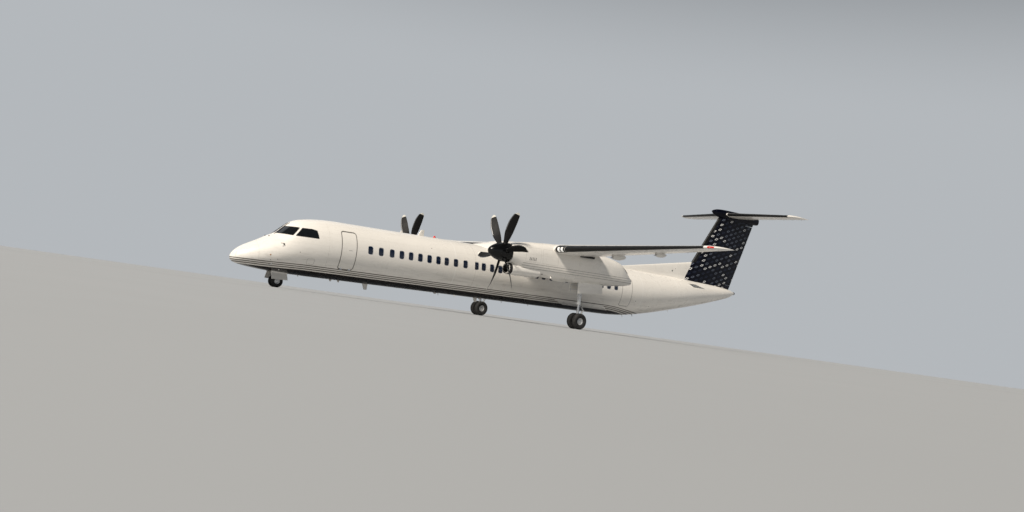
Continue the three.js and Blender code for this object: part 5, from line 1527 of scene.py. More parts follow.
def hinged_fairing(y, ends, finish):
    """The two halves of a pod, pinned together on the flap's pivot line."""
    pivot = flap_pivot(y)
    line = (flap_pivot(ends[1]) - flap_pivot(ends[0])).normalized()
    radius = FLAP_HINGE["radius"]

    def eye(start, stop, tail):
        rings = []
        for distance in (start, stop):
            centre = pivot + line * distance
            turns = [math.radians(d) for d in range(-90, 91, 15)]
            round_end = [(-math.copysign(radius, tail) * math.cos(a), radius * math.sin(a)) for a in turns]
            outline = [*round_end, (tail, 0.8 * radius), (tail, -0.8 * radius)]
            rings.append([centre + Vector((x, 0, z)) for x, z in outline])
        return loft(rings, BRIGHT_STEEL)

    front = fairing(y, -2, FAIRING_SPLIT[0], finish)
    carve(
        front, "DIFFERENCE",
        rod(pivot - line * 0.062, pivot + line * 0.062, FLAP_HINGE["pocket"], SEAL_RUBBER),
    )
    near, far = FLAP_HINGE["cheek"]
    front = joined(
        front, eye(-FLAP_HINGE["tongue"], FLAP_HINGE["tongue"], 0.090),
        rod(pivot - line * (far - 0.002), pivot + line * (far - 0.002), FLAP_HINGE["pin"], BRIGHT_STEEL),
    )
    rear = joined(fairing(y, FAIRING_SPLIT[1], 2, finish), eye(near, far, -0.080), eye(-far, -near, -0.080))
    return front, rear


def flapped(wing, span, pods, clear, finish):
    """Splits a wing into the part that stays and its flap, each with its half of the pods."""
    halves = [hinged_fairing(y, span, finish) for y in pods]
    moving = copy_of(wing)
    carve(moving, "INTERSECT", flap_space(*span, 0.0, finish))
    carve(wing, "DIFFERENCE", flap_space(span[0] - clear, span[1] + clear, HINGE_GAP, SEAL_RUBBER))
    return joined(wing, *[front for front, _ in halves]), joined(moving, *[rear for _, rear in halves])


def boot(ring_at, marks, above, below, proud, finish):
    """A boot round a leading edge, a little proud of it, back to a share of the chord on each face."""
    over, under = ([x for x in CHORD_STEPS if 0 < x < end] for end in (above, below))
    shares = [below, *reversed(under), 0, *over, above]
    signs = [-1] * (len(under) + 1) + [1] * (len(over) + 2)
    rings = []
    for mark in marks:
        outline = ring_at(mark, shares, signs)
        outer = []
        for i, p in enumerate(outline):
            ahead = outline[min(i + 1, len(outline) - 1)] - outline[max(i - 1, 0)]
            out = Vector((ahead.z, 0, -ahead.x)) if abs(ahead.y) < 1e-6 else Vector((ahead.y, -ahead.x, 0))
            if out.x < 0 and abs(i - len(outline) / 2) < 2:
                out = -out
            outer.append((p, out.normalized()))
        rings.append([p + n * proud for p, n in outer] + [p - n * 0.004 for p, n in reversed(outer)])
    return loft(rings, finish)


# Rubber boots. Columns: from, to, number of rings, share of the chord on the upper and the lower face
BOOTS = {
    "inner_wing_boot": (1.30, 3.80, 4, 0.065, 0.05),
    "outer_wing_boot": (5.62, 13.55, 8, 0.075, 0.055),
    "fin_boot": (2.36, 5.24, 5, 0.055, 0.055),
    "tailplane_boot": (0.30, 4.27, 5, 0.07, 0.06),
}
BOOT_PROUD = 0.003


def rubber_boot(ring_at, name):
    start, end, rings, above, below = BOOTS[name]
    return boot(ring_at, spread(start, end, rings), above, below, BOOT_PROUD, BOOT_RUBBER)


def wing_edge(y, shares, signs):
    """Points round the wing's leading edge at shares of the chord."""
    le, chord, w, thickness = wing_at(y)
    return [at(le + x, y, w + z) for x, z in section_points(chord, thickness, WING_CAMBER, shares, signs)]


def build_wings():
    inner = loft([wing_ring(y) for y in spread(0, WING_BEND - SEAM, 6)], WING_WHITE)
    fixed, flap = flapped(inner, INNER_FLAP, INNER_FAIRINGS, FLAP_END_GAPS["inner"], WING_WHITE)
    keep(joined(fixed, mirrored(fixed)), "wing_centre_skin", "white_paint", "wing_centre", corner=40)
    keep_pair(flap, "inner_flap_skin", "white_paint", "inner_flap", body="inner_flap_body", corner=40)

    marks = [*spread(WING_BEND + SEAM, WING_TIP_RIB, 12), *spread(WING_TIP_RIB, WING_TIP[-1][0], 9)[1:]]
    outer = loft([wing_ring(y) for y in marks], WING_WHITE)
    outer, flap = flapped(outer, OUTER_FLAP, OUTER_FAIRINGS, FLAP_END_GAPS["outer"], WING_WHITE)
    keep_pair(flap, "outer_flap_skin", "white_paint", "outer_flap", body="outer_flap_body", corner=40)
    line, x = [], AILERON["hinge"]
    for y in AILERON["span"]:
        _, chord, _, thickness = wing_at(y)
        line.append(
            (on_wing(y, x, 4 * WING_CAMBER * x * (1 - x) * chord), section_half(x, thickness) * chord)
        )
    aileron, outer = hinged(outer, line, AILERON["span"], SURFACE_END_GAP, y_slab, WING_WHITE, AILERON["pin"])
    keep_pair(outer, "outer_wing_skin", "white_paint", "outer_wing", corner=40)
    keep_pair(aileron, "aileron_skin", "white_paint", "aileron", body="aileron_body", corner=40)

    for name in ("inner_wing_boot", "outer_wing_boot"):
        keep_pair(rubber_boot(wing_edge, name), name, "black_paint")
    build_saddle()


saddle_row = smooth_table(SADDLE)


def build_saddle():
    """The fairing that carries the wing over the fuselage."""
    rings = []
    for s in spread(SADDLE[0][0], SADDLE[-1][0], 40):
        breadth, top = saddle_row(s)
        angles = spread(0, math.pi, 41)
        rings.append([
            at(
                s, breadth * math.cos(a), SADDLE_BASE + (top - SADDLE_BASE) * max(0, math.sin(a)) ** 0.6
            ) for a in angles
        ])
    keep(loft(rings, TRIM_WHITE), "wing_root_fairing", "white_paint", corner=50)


# Nacelles

def squared_ring(s, top, bottom, half, sharpness, sides, y=NACELLE_Y):
    """A fairing's ring: sharpness 2 is an ellipse, more is squarer."""
    ring = []
    for i in range(sides):
        angle = 2 * math.pi * (i + 0.5) / sides
        shape = [math.copysign(abs(v) ** (2 / sharpness), v) for v in (math.cos(angle), math.sin(angle))]
        ring.append(at(s, y + half * shape[0], (top + bottom) / 2 + (top - bottom) / 2 * shape[1]))
    return ring


def squared_loft(table, marks, finish, y=NACELLE_Y, sides=72):
    row = smooth_table(table)
    return loft([squared_ring(s, *row(s), sides, y) for s in marks], finish)


def port_at(s, w, y=0.0):
    return at(s, NACELLE_Y + y, w)


def build_nacelles():
    marks = sorted([*spread(NACELLE[0][0], NACELLE[-1][0], 72), *NACELLE_BREAK])
    body = squared_loft(NACELLE, marks, NACELLE_WHITE)
    chin = squared_loft(INTAKE, spread(INTAKE[0][0], INTAKE[-1][0], 18), NACELLE_WHITE)
    carve(body, "UNION", chin)
    first, top, bottom, wide, sharp = INTAKE[0]
    mouth = (top - INTAKE_LIP, bottom + INTAKE_LIP, wide - INTAKE_LIP, sharp)
    ducts = ((11.5, *mouth), (11.8, *mouth), (first + INTAKE_DEPTH, *INTAKE_THROAT))
    bore = loft([squared_ring(*row, sides=48) for row in ducts], DUCT_DARK)
    shaft_hole = rod(
        port_at(11.5, PROPELLER["w"]), port_at(12.15, PROPELLER["w"]), 0.101, DUCT_DARK, sides=32
    )
    pipe = rod(
        port_at(EXHAUST["from"], EXHAUST["w"]), port_at(
            EXHAUST["to"], EXHAUST["w"] + EXHAUST["rise"]
        ), EXHAUST["radius"],
        EXHAUST_METAL, sides=48,
    )
    half = MAIN_WELL["half"]
    well = block(MAIN_WELL["s"], (NACELLE_Y - half, NACELLE_Y + half), (-0.4, MAIN_WELL["roof"]), WELL_PRIMER)
    carve(body, "DIFFERENCE", bore, shaft_hole, pipe, well)
    keep_pair(body, "nacelle_skin", "white_paint", "nacelle", corner=38)

    rings = []
    for inset, s in LIP_RINGS:
        top, bottom, wide, sharp = smooth_table(INTAKE)(max(s, first))
        rings.append(squared_ring(s, top - inset, bottom + inset, wide - inset, sharp, sides=64))
    keep_pair(loft(rings, FITTING_BLACK, round_trip=True), "intake_lip", "black_paint", corner=60)


# Propellers

blade_row = smooth_table(BLADE)
BLADE_TURNS = [
    math.radians(PROPELLER["first"] + 360 / PROPELLER["blades"] * i) for i in range(PROPELLER["blades"])
]


def blade_way(angle):
    return Vector((0, math.cos(angle), math.sin(angle)))


def blade_rods(centre, reach, radius, end_radius, sides):
    """A round bar along each blade, between two distances from the hub's centre."""
    ways = [blade_way(angle) for angle in BLADE_TURNS]
    return [rod(*[centre + way * r for r in reach], radius, FITTING_BLACK, end_radius, sides) for way in ways]


def blade(angle):
    """A twisted, swept blade with a metal strip on the outer part of its leading edge."""
    out = blade_way(angle)
    turnward = Vector((0, -math.sin(angle), math.cos(angle)))
    centre = port_at(PROPELLER["disc"], PROPELLER["w"])
    marks = [*spread(BLADE[0][0], 1.80, 18), *spread(1.80, BLADE[-1][0], 9)[1:]]
    rings = []
    for radius in marks:
        chord, thick, pitch, sweep = blade_row(radius)
        if radius > BLADE_END_FROM:
            fall = (radius - BLADE_END_FROM) / (BLADE[-1][0] - BLADE_END_FROM)
            chord *= math.sqrt(max(0.2, 1 - 0.75 * fall**2))
        twist = math.radians(pitch)
        edge = turnward * math.cos(twist) + FORWARD * math.sin(twist)
        face = turnward * -math.sin(twist) + FORWARD * math.cos(twist)
        plump = [0.5 * (max(0, section_half(x, 1.0)) / 0.5) ** 0.9 for x in BLADE_STEPS]
        upper = list(zip(BLADE_STEPS, plump))
        lower = [(x, -0.84 * z) for x, z in upper]
        outline = upper + lower[-2:0:-1]
        hold = centre + out * radius + turnward * sweep
        rings.append([hold + edge * ((0.5 - x) * chord) + face * (z * thick) for x, z in outline])
    piece = loft(rings, BLADE_BLACK)
    piece.data.materials.append(EROSION_STRIP)
    count = len(rings[0])
    for index, face in enumerate(piece.data.polygons):
        ring, place = divmod(index, count)
        near_edge = place in (0, 1, 2, count - 1, count - 2, count - 3)
        if ring < len(rings) - 1 and near_edge and EROSION_SPAN[0] < marks[ring] < EROSION_SPAN[1]:
            face.material_index = 1
    return piece


def build_propellers():
    centre = port_at(PROPELLER["disc"], PROPELLER["w"])
    radius, back = PROPELLER["hub"], PROPELLER["hub_back"]
    outline = [(0.0001, 0.160), (radius - 0.03, 0.160), (radius, 0.120), (radius, back), (0.0001, back)]
    hub = turned(outline, 48, centre, FORWARD, ENGINE_CASTING)
    shaft_end = port_at(PROPELLER["shaft_end"], PROPELLER["w"])
    shaft = rod(centre, shaft_end, PROPELLER["shaft"] - 0.001, BRIGHT_STEEL, sides=32)
    cuffs = blade_rods(centre, CUFF["reach"], CUFF["radius"], CUFF["end_radius"], 32)
    port = joined(hub, shaft, *cuffs, *[blade(angle) for angle in BLADE_TURNS])
    across = Matrix.Translation((0, -2 * NACELLE_Y, 0))
    starboard = moved(port, across)
    spinner = build_spinner(centre)
    far_spinner = moved(spinner, across)
    for side, blades, cone in (("port", port, spinner), ("starboard", starboard, far_spinner)):
        body = f"{side}_propeller"
        keep(blades, f"{side}_blades", "black_blade", f"{side}_propeller_blades", body=body, corner=40)
        keep(cone, f"{side}_spinner_shell", "black_paint", f"{side}_spinner", body=body, corner=35)


def build_spinner(centre):
    """A hollow pointed shell with a round hole for each blade."""
    rim, eye = PROPELLER["radius"], PROPELLER["shaft"] + 0.03
    reach, back = (PROPELLER["disc"] - PROPELLER[key] for key in ("tip", "back"))
    shape = curve_through(SPINNER_SHAPE, 5)
    outer = [(max(0.0001, rim * p.y), reach - (reach + SPINNER_FOOT) * p.x) for p in shape]
    outline = [
        *outer, (rim, back + 0.006), (rim - 0.006, back), (eye, back), (eye, -0.27),
        (rim - 0.035, -0.27), (rim - 0.035, 0), (PROPELLER["hub"] + 0.02, 0.36), (0.0001, 0.44),
    ]
    shell = turned(outline, 72, centre, FORWARD, SPINNER_BLACK)
    return carve(shell, "DIFFERENCE", *blade_rods(centre, (0.3, 0.5), CUFF["hole"], None, 40))


# T-tail

def fin_at(w):
    t = (w - FIN_BASE["w"]) / (FIN_TOP["w"] - FIN_BASE["w"])
    le = lerp(FIN_BASE["le"], FIN_TOP["le"], t)
    return le, lerp(FIN_BASE["te"], FIN_TOP["te"], t) - le


def fin_ring(w):
    le, chord = fin_at(w)
    return [at(le + x, z, w) for x, z in section(chord, FIN_THICKNESS, 0)]


def fin_line(share):
    line = []
    for w in (RUDDER["foot"], RUDDER["head"]):
        le, chord = fin_at(w)
        line.append(
            (at(le + chord * share, 0, w), section_half(share, FIN_THICKNESS) * chord * RUDDER["nose"])
        )
    return line


def fin_edge(w, shares, signs):
    le, chord = fin_at(w)
    return [at(le + x, z, w) for x, z in section_points(chord, FIN_THICKNESS, 0, shares, signs)]


def tail_at(y):
    y = abs(y)
    if y > TAILPLANE["tip_rib"]:
        le, te, thickness = smooth_table(TAILPLANE_TIP)(y)
        return le, te - le, thickness
    t = y / TAILPLANE["tip_rib"]
    le = lerp(TAILPLANE_ROOT["s"], TAILPLANE_END["s"], t)
    return le, lerp(TAILPLANE_ROOT["te"], TAILPLANE_END["te"], t) - le, TAILPLANE["thickness"]


def tail_ring(y):
    le, chord, thickness = tail_at(y)
    return [at(le + x, y, TAILPLANE["w"] + z) for x, z in section(chord, thickness, 0)]


def tail_edge(y, shares, signs):
    le, chord, thickness = tail_at(y)
    return [at(le + x, y, TAILPLANE["w"] + z) for x, z in section_points(chord, thickness, 0, shares, signs)]


def build_fin():
    whole = loft([fin_ring(w) for w in spread(FIN_BASE["w"], FIN_TOP["w"], 12)], FIN_NAVY)
    rudder, fin = hinged(
        whole, fin_line(RUDDER["hinge"]), (RUDDER["foot"], RUDDER["head"]), RUDDER_GAPS, w_slab, FIN_NAVY,
        RUDDER["pin"],
    )
    span = (RUDDER["foot"] + 0.002, RUDDER["head"] - 0.002)
    trailing, fore = hinged(rudder, fin_line(RUDDER["tab"]), span, TRAILING_RUDDER_GAP, w_slab, FIN_NAVY, 0)
    keep(fin, "fin_skin", "navy_paint", "fin", corner=40)
    keep(fore, "fore_rudder_skin", "navy_paint", "fore_rudder", body="fore_rudder_body", corner=40)
    keep(
        trailing, "trailing_rudder_skin", "navy_paint", "trailing_rudder", body="trailing_rudder_body",
        corner=40,
    )
    keep(rubber_boot(fin_edge, "fin_boot"), "fin_boot", "black_paint")
    build_dorsal()


def build_dorsal():
    """The long low fin that leads up to the fin's root."""
    outline = curve_through([(1.6, 0), (1.05, 0.25), (0.85, 0.6), (0.5, 0.9), (0, 1)], 5)
    outline = [*outline, *[Vector((-p.x, p.y)) for p in reversed(outline[:-1])]]
    rings = []
    for s in spread(DORSAL["from"], DORSAL["to"], 24):
        t = (s - DORSAL["from"]) / (DORSAL["to"] - DORSAL["from"])
        top = lerp(BARREL_RADIUS - 0.012, DORSAL["top"], t)
        breadth = lerp(0.03, DORSAL["half"], min(1, t * 1.2))
        rings.append([at(s, p.x * breadth, lerp(1.15, top, p.y)) for p in outline])
    keep(loft(rings, TRIM_WHITE), "dorsal_skin", "white_paint", "dorsal_fin", corner=50)


def build_tailplane():
    marks = [*spread(0, TAILPLANE["tip_rib"], 6), *spread(TAILPLANE["tip_rib"], TAILPLANE_TIP[-1][0], 8)[1:]]
    half = loft([tail_ring(y) for y in marks], TAIL_WHITE)
    line = []
    for y in TAILPLANE["elevator"]:
        le, chord, thickness = tail_at(y)
        line.append(
            (
                at(le + chord * TAILPLANE["hinge"], y, TAILPLANE["w"]),
                section_half(TAILPLANE["hinge"], thickness) * chord,
            )
        )
    elevator, half = hinged(
        half, line, TAILPLANE["elevator"], SURFACE_END_GAP, y_slab, TAIL_WHITE, TAILPLANE["pin"]
    )
    keep(joined(half, mirrored(half)), "tailplane_skin", "white_paint", "tailplane", corner=40)
    keep_pair(elevator, "elevator_skin", "white_paint", "elevator", body="elevator_body", corner=40)
    keep_pair(rubber_boot(tail_edge, "tailplane_boot"), "tailplane_boot", "black_paint")
    marks = [29.0, 29.01, 29.03, 29.07, *spread(29.15, 32.94, 30), BULLET[-1][0]]
    bullet = squared_loft(BULLET, marks, BULLET_NAVY, y=0, sides=56)
    keep(bullet, "bullet_skin", "navy_paint", "bullet_fairing", corner=45)


# Landing gear

TYRE_GROOVES = 3


def ground_to_axis(s, z):
    """The height above the fuselage axis of a point at a height above the ground."""
    return (z - AXIS_HEIGHT_AT_NOSE - s * math.sin(NOSE_DOWN)) / math.cos(NOSE_DOWN)


def tyre(wheel, centre):
    """A tyre with grooves round its tread."""
    r, h, bead = wheel["radius"] - 0.0002, wheel["half"], wheel["bead"]
    side = curve_through([
        (bead, h * 0.60), (bead + 0.10 * (r - bead), h * 0.74), (bead + 0.22 * (r - bead), h * 0.86), (
            bead + 0.55 * (r - bead), h
        ),
        (bead + 0.86 * (r - bead), h * 0.84), (r - 0.012 * (r - bead), h * 0.46), (r, h * 0.34),
    ], 3)
    outline = [(p.x, p.y) for p in side]
    width = h * 0.030
    for middle in spread(h * 0.24, -h * 0.24, TYRE_GROOVES):
        outline += [
            (r, middle + width), (r - 0.007, middle + width * 0.8), (r - 0.007, middle - width * 0.8),
            (r, middle - width),
        ]
    outline += [(p.x, -p.y) for p in reversed(side)]
    return turned(outline, 72, centre, PORT, TYRE_RUBBER)


def rim(wheel, centre, side):
    """A dished rim with lightening holes and bolts, its outer face away from the leg."""
    bead, h, axle = wheel["bead"], wheel["half"], wheel["axle"]
    outline = [
        (0.0005, h * 0.40), (axle * 0.9, h * 0.40), (axle * 1.25, h * 0.34), (axle * 1.35, h * 0.22),
        (bead * 0.62, h * 0.10), (bead * 0.80, h * 0.30), (bead * 0.86, h * 0.56), (bead * 0.97, h * 0.60),
        (bead, h * 0.56), (bead, -h * 0.58), (bead * 0.86, -h * 0.60), (bead * 0.84, -h * 0.10),
        (axle * 1.2, -h * 0.14), (0.0005, -h * 0.14),
    ]
    disc = turned([(radius, side * along) for radius, along in outline], 60, centre, PORT, WHEEL_ALLOY)
    parts = [disc]
    for k in range(9):
        a = 2 * math.pi * k / 9
        out = Vector((math.cos(a), 0, math.sin(a)))
        foot = centre + out * (bead * 0.52) + PORT * (side * h * 0.10)
        parts.append(rod(foot, foot + PORT * (side * 0.014), 0.009, BRIGHT_STEEL, sides=6))
    return parts


def wheel_pair(wheel, y, body, tyres, rims):
    """Two wheels on one axle. Tyres and rims are given by the names of piece and node, tyres from port."""
    centre = at(wheel["s"], y, ground_to_axis(wheel["s"], wheel["radius"]))
    reach = PORT * wheel["half_axle"]
    parts = [rod(centre - reach, centre + reach, wheel["axle"], BRIGHT_STEEL)]
    for way, (name, node) in zip((1, -1), tyres):
        hub = centre + PORT * (way * wheel["twin"])
        parts += rim(wheel, hub, way)
        keep(tyre(wheel, hub), name, "tyre", node, body=body)
    keep(joined(*parts), rims[0], "wheel_metal", rims[1], body=body)


def build_wheels():
    for side, y, order in (
        ("port", NACELLE_Y, ("outboard", "inboard")), ("starboard", -NACELLE_Y, ("inboard", "outboard"))
    ):
        tyres = [(f"{side}_{where}_tyre", f"{side}_{where}_main_tyre") for where in order]
        wheel_pair(MAIN_WHEEL, y, f"{side}_main_wheels", tyres, (f"{side}_rims", f"{side}_main_wheel_rims"))
    tyres = [(f"{side}_nose_wheel_tyre", f"{side}_nose_tyre") for side in ("port", "starboard")]
    wheel_pair(NOSE_WHEEL, 0, "nose_wheels", tyres, ("nose_rims", "nose_wheel_rims"))


# Small fittings

def skin_normal(s, w):
    """The way out of the port skin."""
    along = skin_at(s + 0.01, w) - skin_at(s - 0.01, w)
    up = skin_at(s, w + 0.01) - skin_at(s, w - 0.01)
    out = along.cross(up).normalized()
    return out if out.y > 0 else -out


def skin_button(s, w, radius, height, finish):
    """A small round fitting on the port skin."""
    foot, out = skin_at(s, w), skin_normal(s, w)
    return rod(foot - out * 0.01, foot + out * height, radius, finish, sides=20)


def top_skin(s, y, allowance):
    """The point on the upper skin at a station and distance to port."""
    top, _, half, middle = fuselage_row(s)
    rise = math.sqrt(max(0, 1 - (y / half) ** 2))
    return at(s, y, middle + (top - middle) * rise + allowance)


def probe(s, w, finish):
    """An L-shaped air data probe that points forward."""
    foot, out = skin_at(s, w), skin_normal(s, w)
    elbow = foot + out * 0.075
    path = curve_through(
        [foot - out * 0.01, foot + out * 0.05, elbow + FORWARD * 0.02, elbow + FORWARD * 0.16], 4
    )
    return joined(tube(path, 0.011, finish), skin_button(s, w, 0.040, 0.007, finish))


def skin_patch(rows, high, finish):
    """A raised patch on the port skin. Each row holds its height and its first and last station."""
    low = -0.02
    rings = []
    for i, (w, first, last) in enumerate(rows):
        rise = high * (0.45 if i in (0, len(rows) - 1) else 1)
        edge = 0.04 * (last - first)
        rings.append([
            skin_at(first, w, low), skin_at(first + edge, w, rise), skin_at((first + last) / 2, w, rise),
            skin_at(last - edge, w, rise), skin_at(last, w, low), skin_at((first + last) / 2, w, low),
        ])
    return loft(rings, finish)


# Columns: station, length, finish
DRAIN_MASTS = [
    (3.25, 0.05, TRIM_WHITE), (10.76, 0.10, TRIM_WHITE), (14.60, 0.09, TRIM_WHITE), (16.30, 0.06, TRIM_WHITE),
    (22.89, 0.12, TRIM_WHITE), (23.62, 0.12, FITTING_BLACK), (26.30, 0.10, TRIM_WHITE),
]
# Points on the windscreens. Columns: station, distance to the side, height over the skin
WIPER_BLADE = [(s, 0.105, 0.016) for s in spread(1.93, 2.50, 7)]
WIPER_ARM = [(1.80, 0.20, 0.004), (1.95, 0.15, 0.030), (2.20, 0.107, 0.026)]
WASHER = [(1.55, 0.24, -0.01), (1.58, 0.24, 0.030)]
# Probes on both sides of the nose. Columns: station, height, finish
PROBES = [(2.01, -0.05, FITTING_BLACK), (1.62, -0.98, BRIGHT_STEEL)]
# Round fittings on both sides of the nose. Columns: station, height, radius, rise, finish
ICE_LAMP = (1.47, -0.59, 0.034, 0.004, AMBER_SPOT)
STATIC_PORTS = [(1.52, -0.81, 0.018, 0.003, FITTING_BLACK), (1.81, -0.75, 0.016, 0.003, FITTING_BLACK)]
NOSE_CAP = (2.10, -1.19, 0.030, 0.022, TRIM_WHITE)
# Strake low on the rear fuselage: height, front and rear at its upper and lower edge
STRAKE = {"w": (-0.88, -1.13), "front": (17.1, 18.0), "rear": (20.62, 21.18), "rise": 0.040}
INLET = {
    "w": (0.86, 1.02), "front": (27.42, 27.17), "rear": (28.55, 27.80), "top": 1.035,
    "bars": (0.2, 0.4, 0.6, 0.8),
}
# Round vents through the dorsal fin. Columns: start, end, radius, finish, sides
DORSAL_VENTS = [
    ((26.28, -0.086, 1.66), (26.28, 0.086, 1.66), 0.045, FITTING_BLACK, 28),
    ((26.52, -0.084, 1.80), (26.52, 0.084, 1.80), 0.016, FITTING_BLACK, 24),
]


def patch_row(shape, t):
    """The height, first and last station of a patch, a share of the way from one edge to the other."""
    return tuple(lerp(*shape[key], t) for key in ("w", "front", "rear"))


def build_nose_details():
    """Wipers, washers, probes, small lamps and ports."""
    for side, way in (("port", 1), ("starboard", -1)):
        blade_path, arm, washer = (
            [top_skin(s, way * y, rise) for s, y, rise in points] for points in (
                WIPER_BLADE, WIPER_ARM, WASHER
            )
        )
        wiper = joined(
            tube(blade_path, 0.010, FITTING_BLACK), tube(curve_through(arm, 4), 0.008, FITTING_BLACK)
        )
        keep(wiper, f"{side}_wiper", "black_paint")
        keep(rod(*washer, 0.018, FITTING_BLACK), f"{side}_washer_jet", "black_paint")
    probes = joined(*[probe(*row) for row in PROBES])
    keep_pair(probes, "air_data_probes", "bright_steel")
    keep_pair(skin_button(*ICE_LAMP), "ice_lamp", "tinted_glass")
    keep_pair(joined(*[skin_button(*row) for row in STATIC_PORTS]), "static_ports", "black_paint")
    keep_pair(skin_button(*NOSE_CAP), "nose_caps", "white_paint", corner=60)


def build_rear_details():
    """The strakes under the wing, the rear air inlets, the dorsal fin's vents and the drain masts."""
    strake = skin_patch([patch_row(STRAKE, t) for t in spread(0, 1, 7)], STRAKE["rise"], WING_WHITE)
    keep_pair(strake, "belly_strake", "white_paint", corner=40)

    inlet = [skin_patch([patch_row(INLET, t) for t in spread(0, 1, 5)], 0.004, FITTING_BLACK)]
    for t in INLET["bars"]:
        w, first, last = patch_row(INLET, t)
        inlet.append(
            tube([skin_at(s, w, 0.012) for s in spread(first + 0.04, last - 0.05, 6)], 0.007, GEAR_GREY)
        )
    top_edge = [skin_at(s, INLET["top"], 0.008) for s in spread(27.10, 27.85, 6)]
    inlet.append(tube(top_edge, 0.012, TRIM_WHITE))
    keep_pair(joined(*inlet), "rear_air_inlet", "black_paint")
    keep(joined(*bars(at, DORSAL_VENTS)), "dorsal_vent", "black_paint")
    for i, (s, length, finish) in enumerate(DRAIN_MASTS):
        bottom = fuselage_row(s)[1]
        mast = rod(at(s, 0, bottom + 0.01), at(s + 0.05, 0, bottom - length), 0.018, finish, 0.012)
        keep(mast, f"drain_mast_{i + 1}", "white_paint")


# Lamps in the wing's leading edge: their black housing, the two lenses in it and the tip's lens, from y to y
LAMP_HOUSING = (5.02, 5.60)
LANDING_LENSES = ((5.16, 5.29), (5.37, 5.50))
TIP_LENS = (13.70, 13.92)
# Static wicks stand at these distances to the side, and on the rudder at these heights
WICKS = {
    "tip": (13.62, 13.80, 13.97), "aileron": (11.2, 12.1, 13.0), "elevator": (2.6, 3.3, 4.0),
    "rudder": (3.4, 4.1, 4.8),
}
WICK_FOOT = 0.995


def build_wing_details():
    """The landing lamps in their black housing, the tips' lamps, and the wicks on the trailing edges."""
    housing = [boot(wing_edge, spread(*LAMP_HOUSING, 4), 0.085, 0.065, 0.004, FITTING_BLACK)]
    for span in LANDING_LENSES:
        housing.append(boot(wing_edge, spread(*span, 4), 0.012, 0.040, 0.010, CLEAR_LENS))
    keep_pair(joined(*housing), "landing_lamps", "black_paint")
    lens = boot(wing_edge, spread(*TIP_LENS, 6), 0.045, 0.04, 0.004, RED_LENS)
    across = mirrored(lens)
    across.data.materials[0] = GREEN_LENS
    for side, solid in (("port", lens), ("starboard", across)):
        keep(solid, f"{side}_tip_lamp", "tinted_glass")

    def wicks(points, length=0.17):
        return joined(*[rod(p, p + AFT * length, 0.0045, FITTING_BLACK, 0.002, sides=8) for p in points])

    def tail_foot(y):
        le, chord, _ = tail_at(y)
        return at(le + WICK_FOOT * chord, y, TAILPLANE["w"])

    def rudder_foot(w):
        le, chord = fin_at(w)
        return at(le + WICK_FOOT * chord, 0, w)

    keep_pair(wicks([on_wing(y, WICK_FOOT, 0.004) for y in WICKS["tip"]]), "wing_tip_wicks", "black_paint")
    aileron = wicks([on_wing(y, WICK_FOOT, 0.004) for y in WICKS["aileron"]])
    keep_pair(aileron, "aileron_wicks", "black_paint", body="aileron_body")
    elevator = wicks([tail_foot(y) for y in WICKS["elevator"]])
    keep_pair(elevator, "elevator_wicks", "black_paint", body="elevator_body")
    rudder = wicks([rudder_foot(w) for w in WICKS["rudder"]], 0.10)
    keep(rudder, "rudder_wicks", "black_paint", body="trailing_rudder_body")


# Scoop under the nacelle. Columns: station, depth, half width
SCOOP = [
    (14.35, 0.004, 0.10), (14.45, 0.055, 0.11), (14.75, 0.060, 0.12), (15.1, 0.035, 0.11),
    (15.45, 0.004, 0.06),
]
LOUVRES = {"first": 12.55, "pitch": 0.085, "count": 5, "w": (0.72, 0.86)}
# Black block for the end of the outer flap's track beside the nacelle, its black painted shade of the gap
# there: stations and heights
TRACK_END_SHADE = {"s": (15.50, 16.34), "w": (1.235, 1.335)}


def build_exhaust():
    """The burnt liner of the exhaust pipe, its lip proud of the nacelle's sloping face."""
    pipe_end = port_at(EXHAUST["to"], EXHAUST["w"] + EXHAUST["rise"])
    pipe_start = port_at(EXHAUST["from"] + 0.01, EXHAUST["w"])
    liner = rod(pipe_start, pipe_end, EXHAUST["radius"] - 0.003, BURNT_STEEL, sides=56)
    bore_start = pipe_start + (pipe_end - pipe_start) * 0.01
    carve(
        liner, "DIFFERENCE",
        rod(bore_start, pipe_end + AFT * 0.1, EXHAUST["radius"] - 0.018, DUCT_DARK, sides=56),
    )
    proud = [[s, top + EXHAUST["proud"], *rest] for s, top, *rest in NACELLE]
    carve(liner, "INTERSECT", squared_loft(proud, spread(17.7, 19.17, 30), BURNT_STEEL))
    keep_pair(liner, "exhaust_liner", "cast_metal", corner=40)


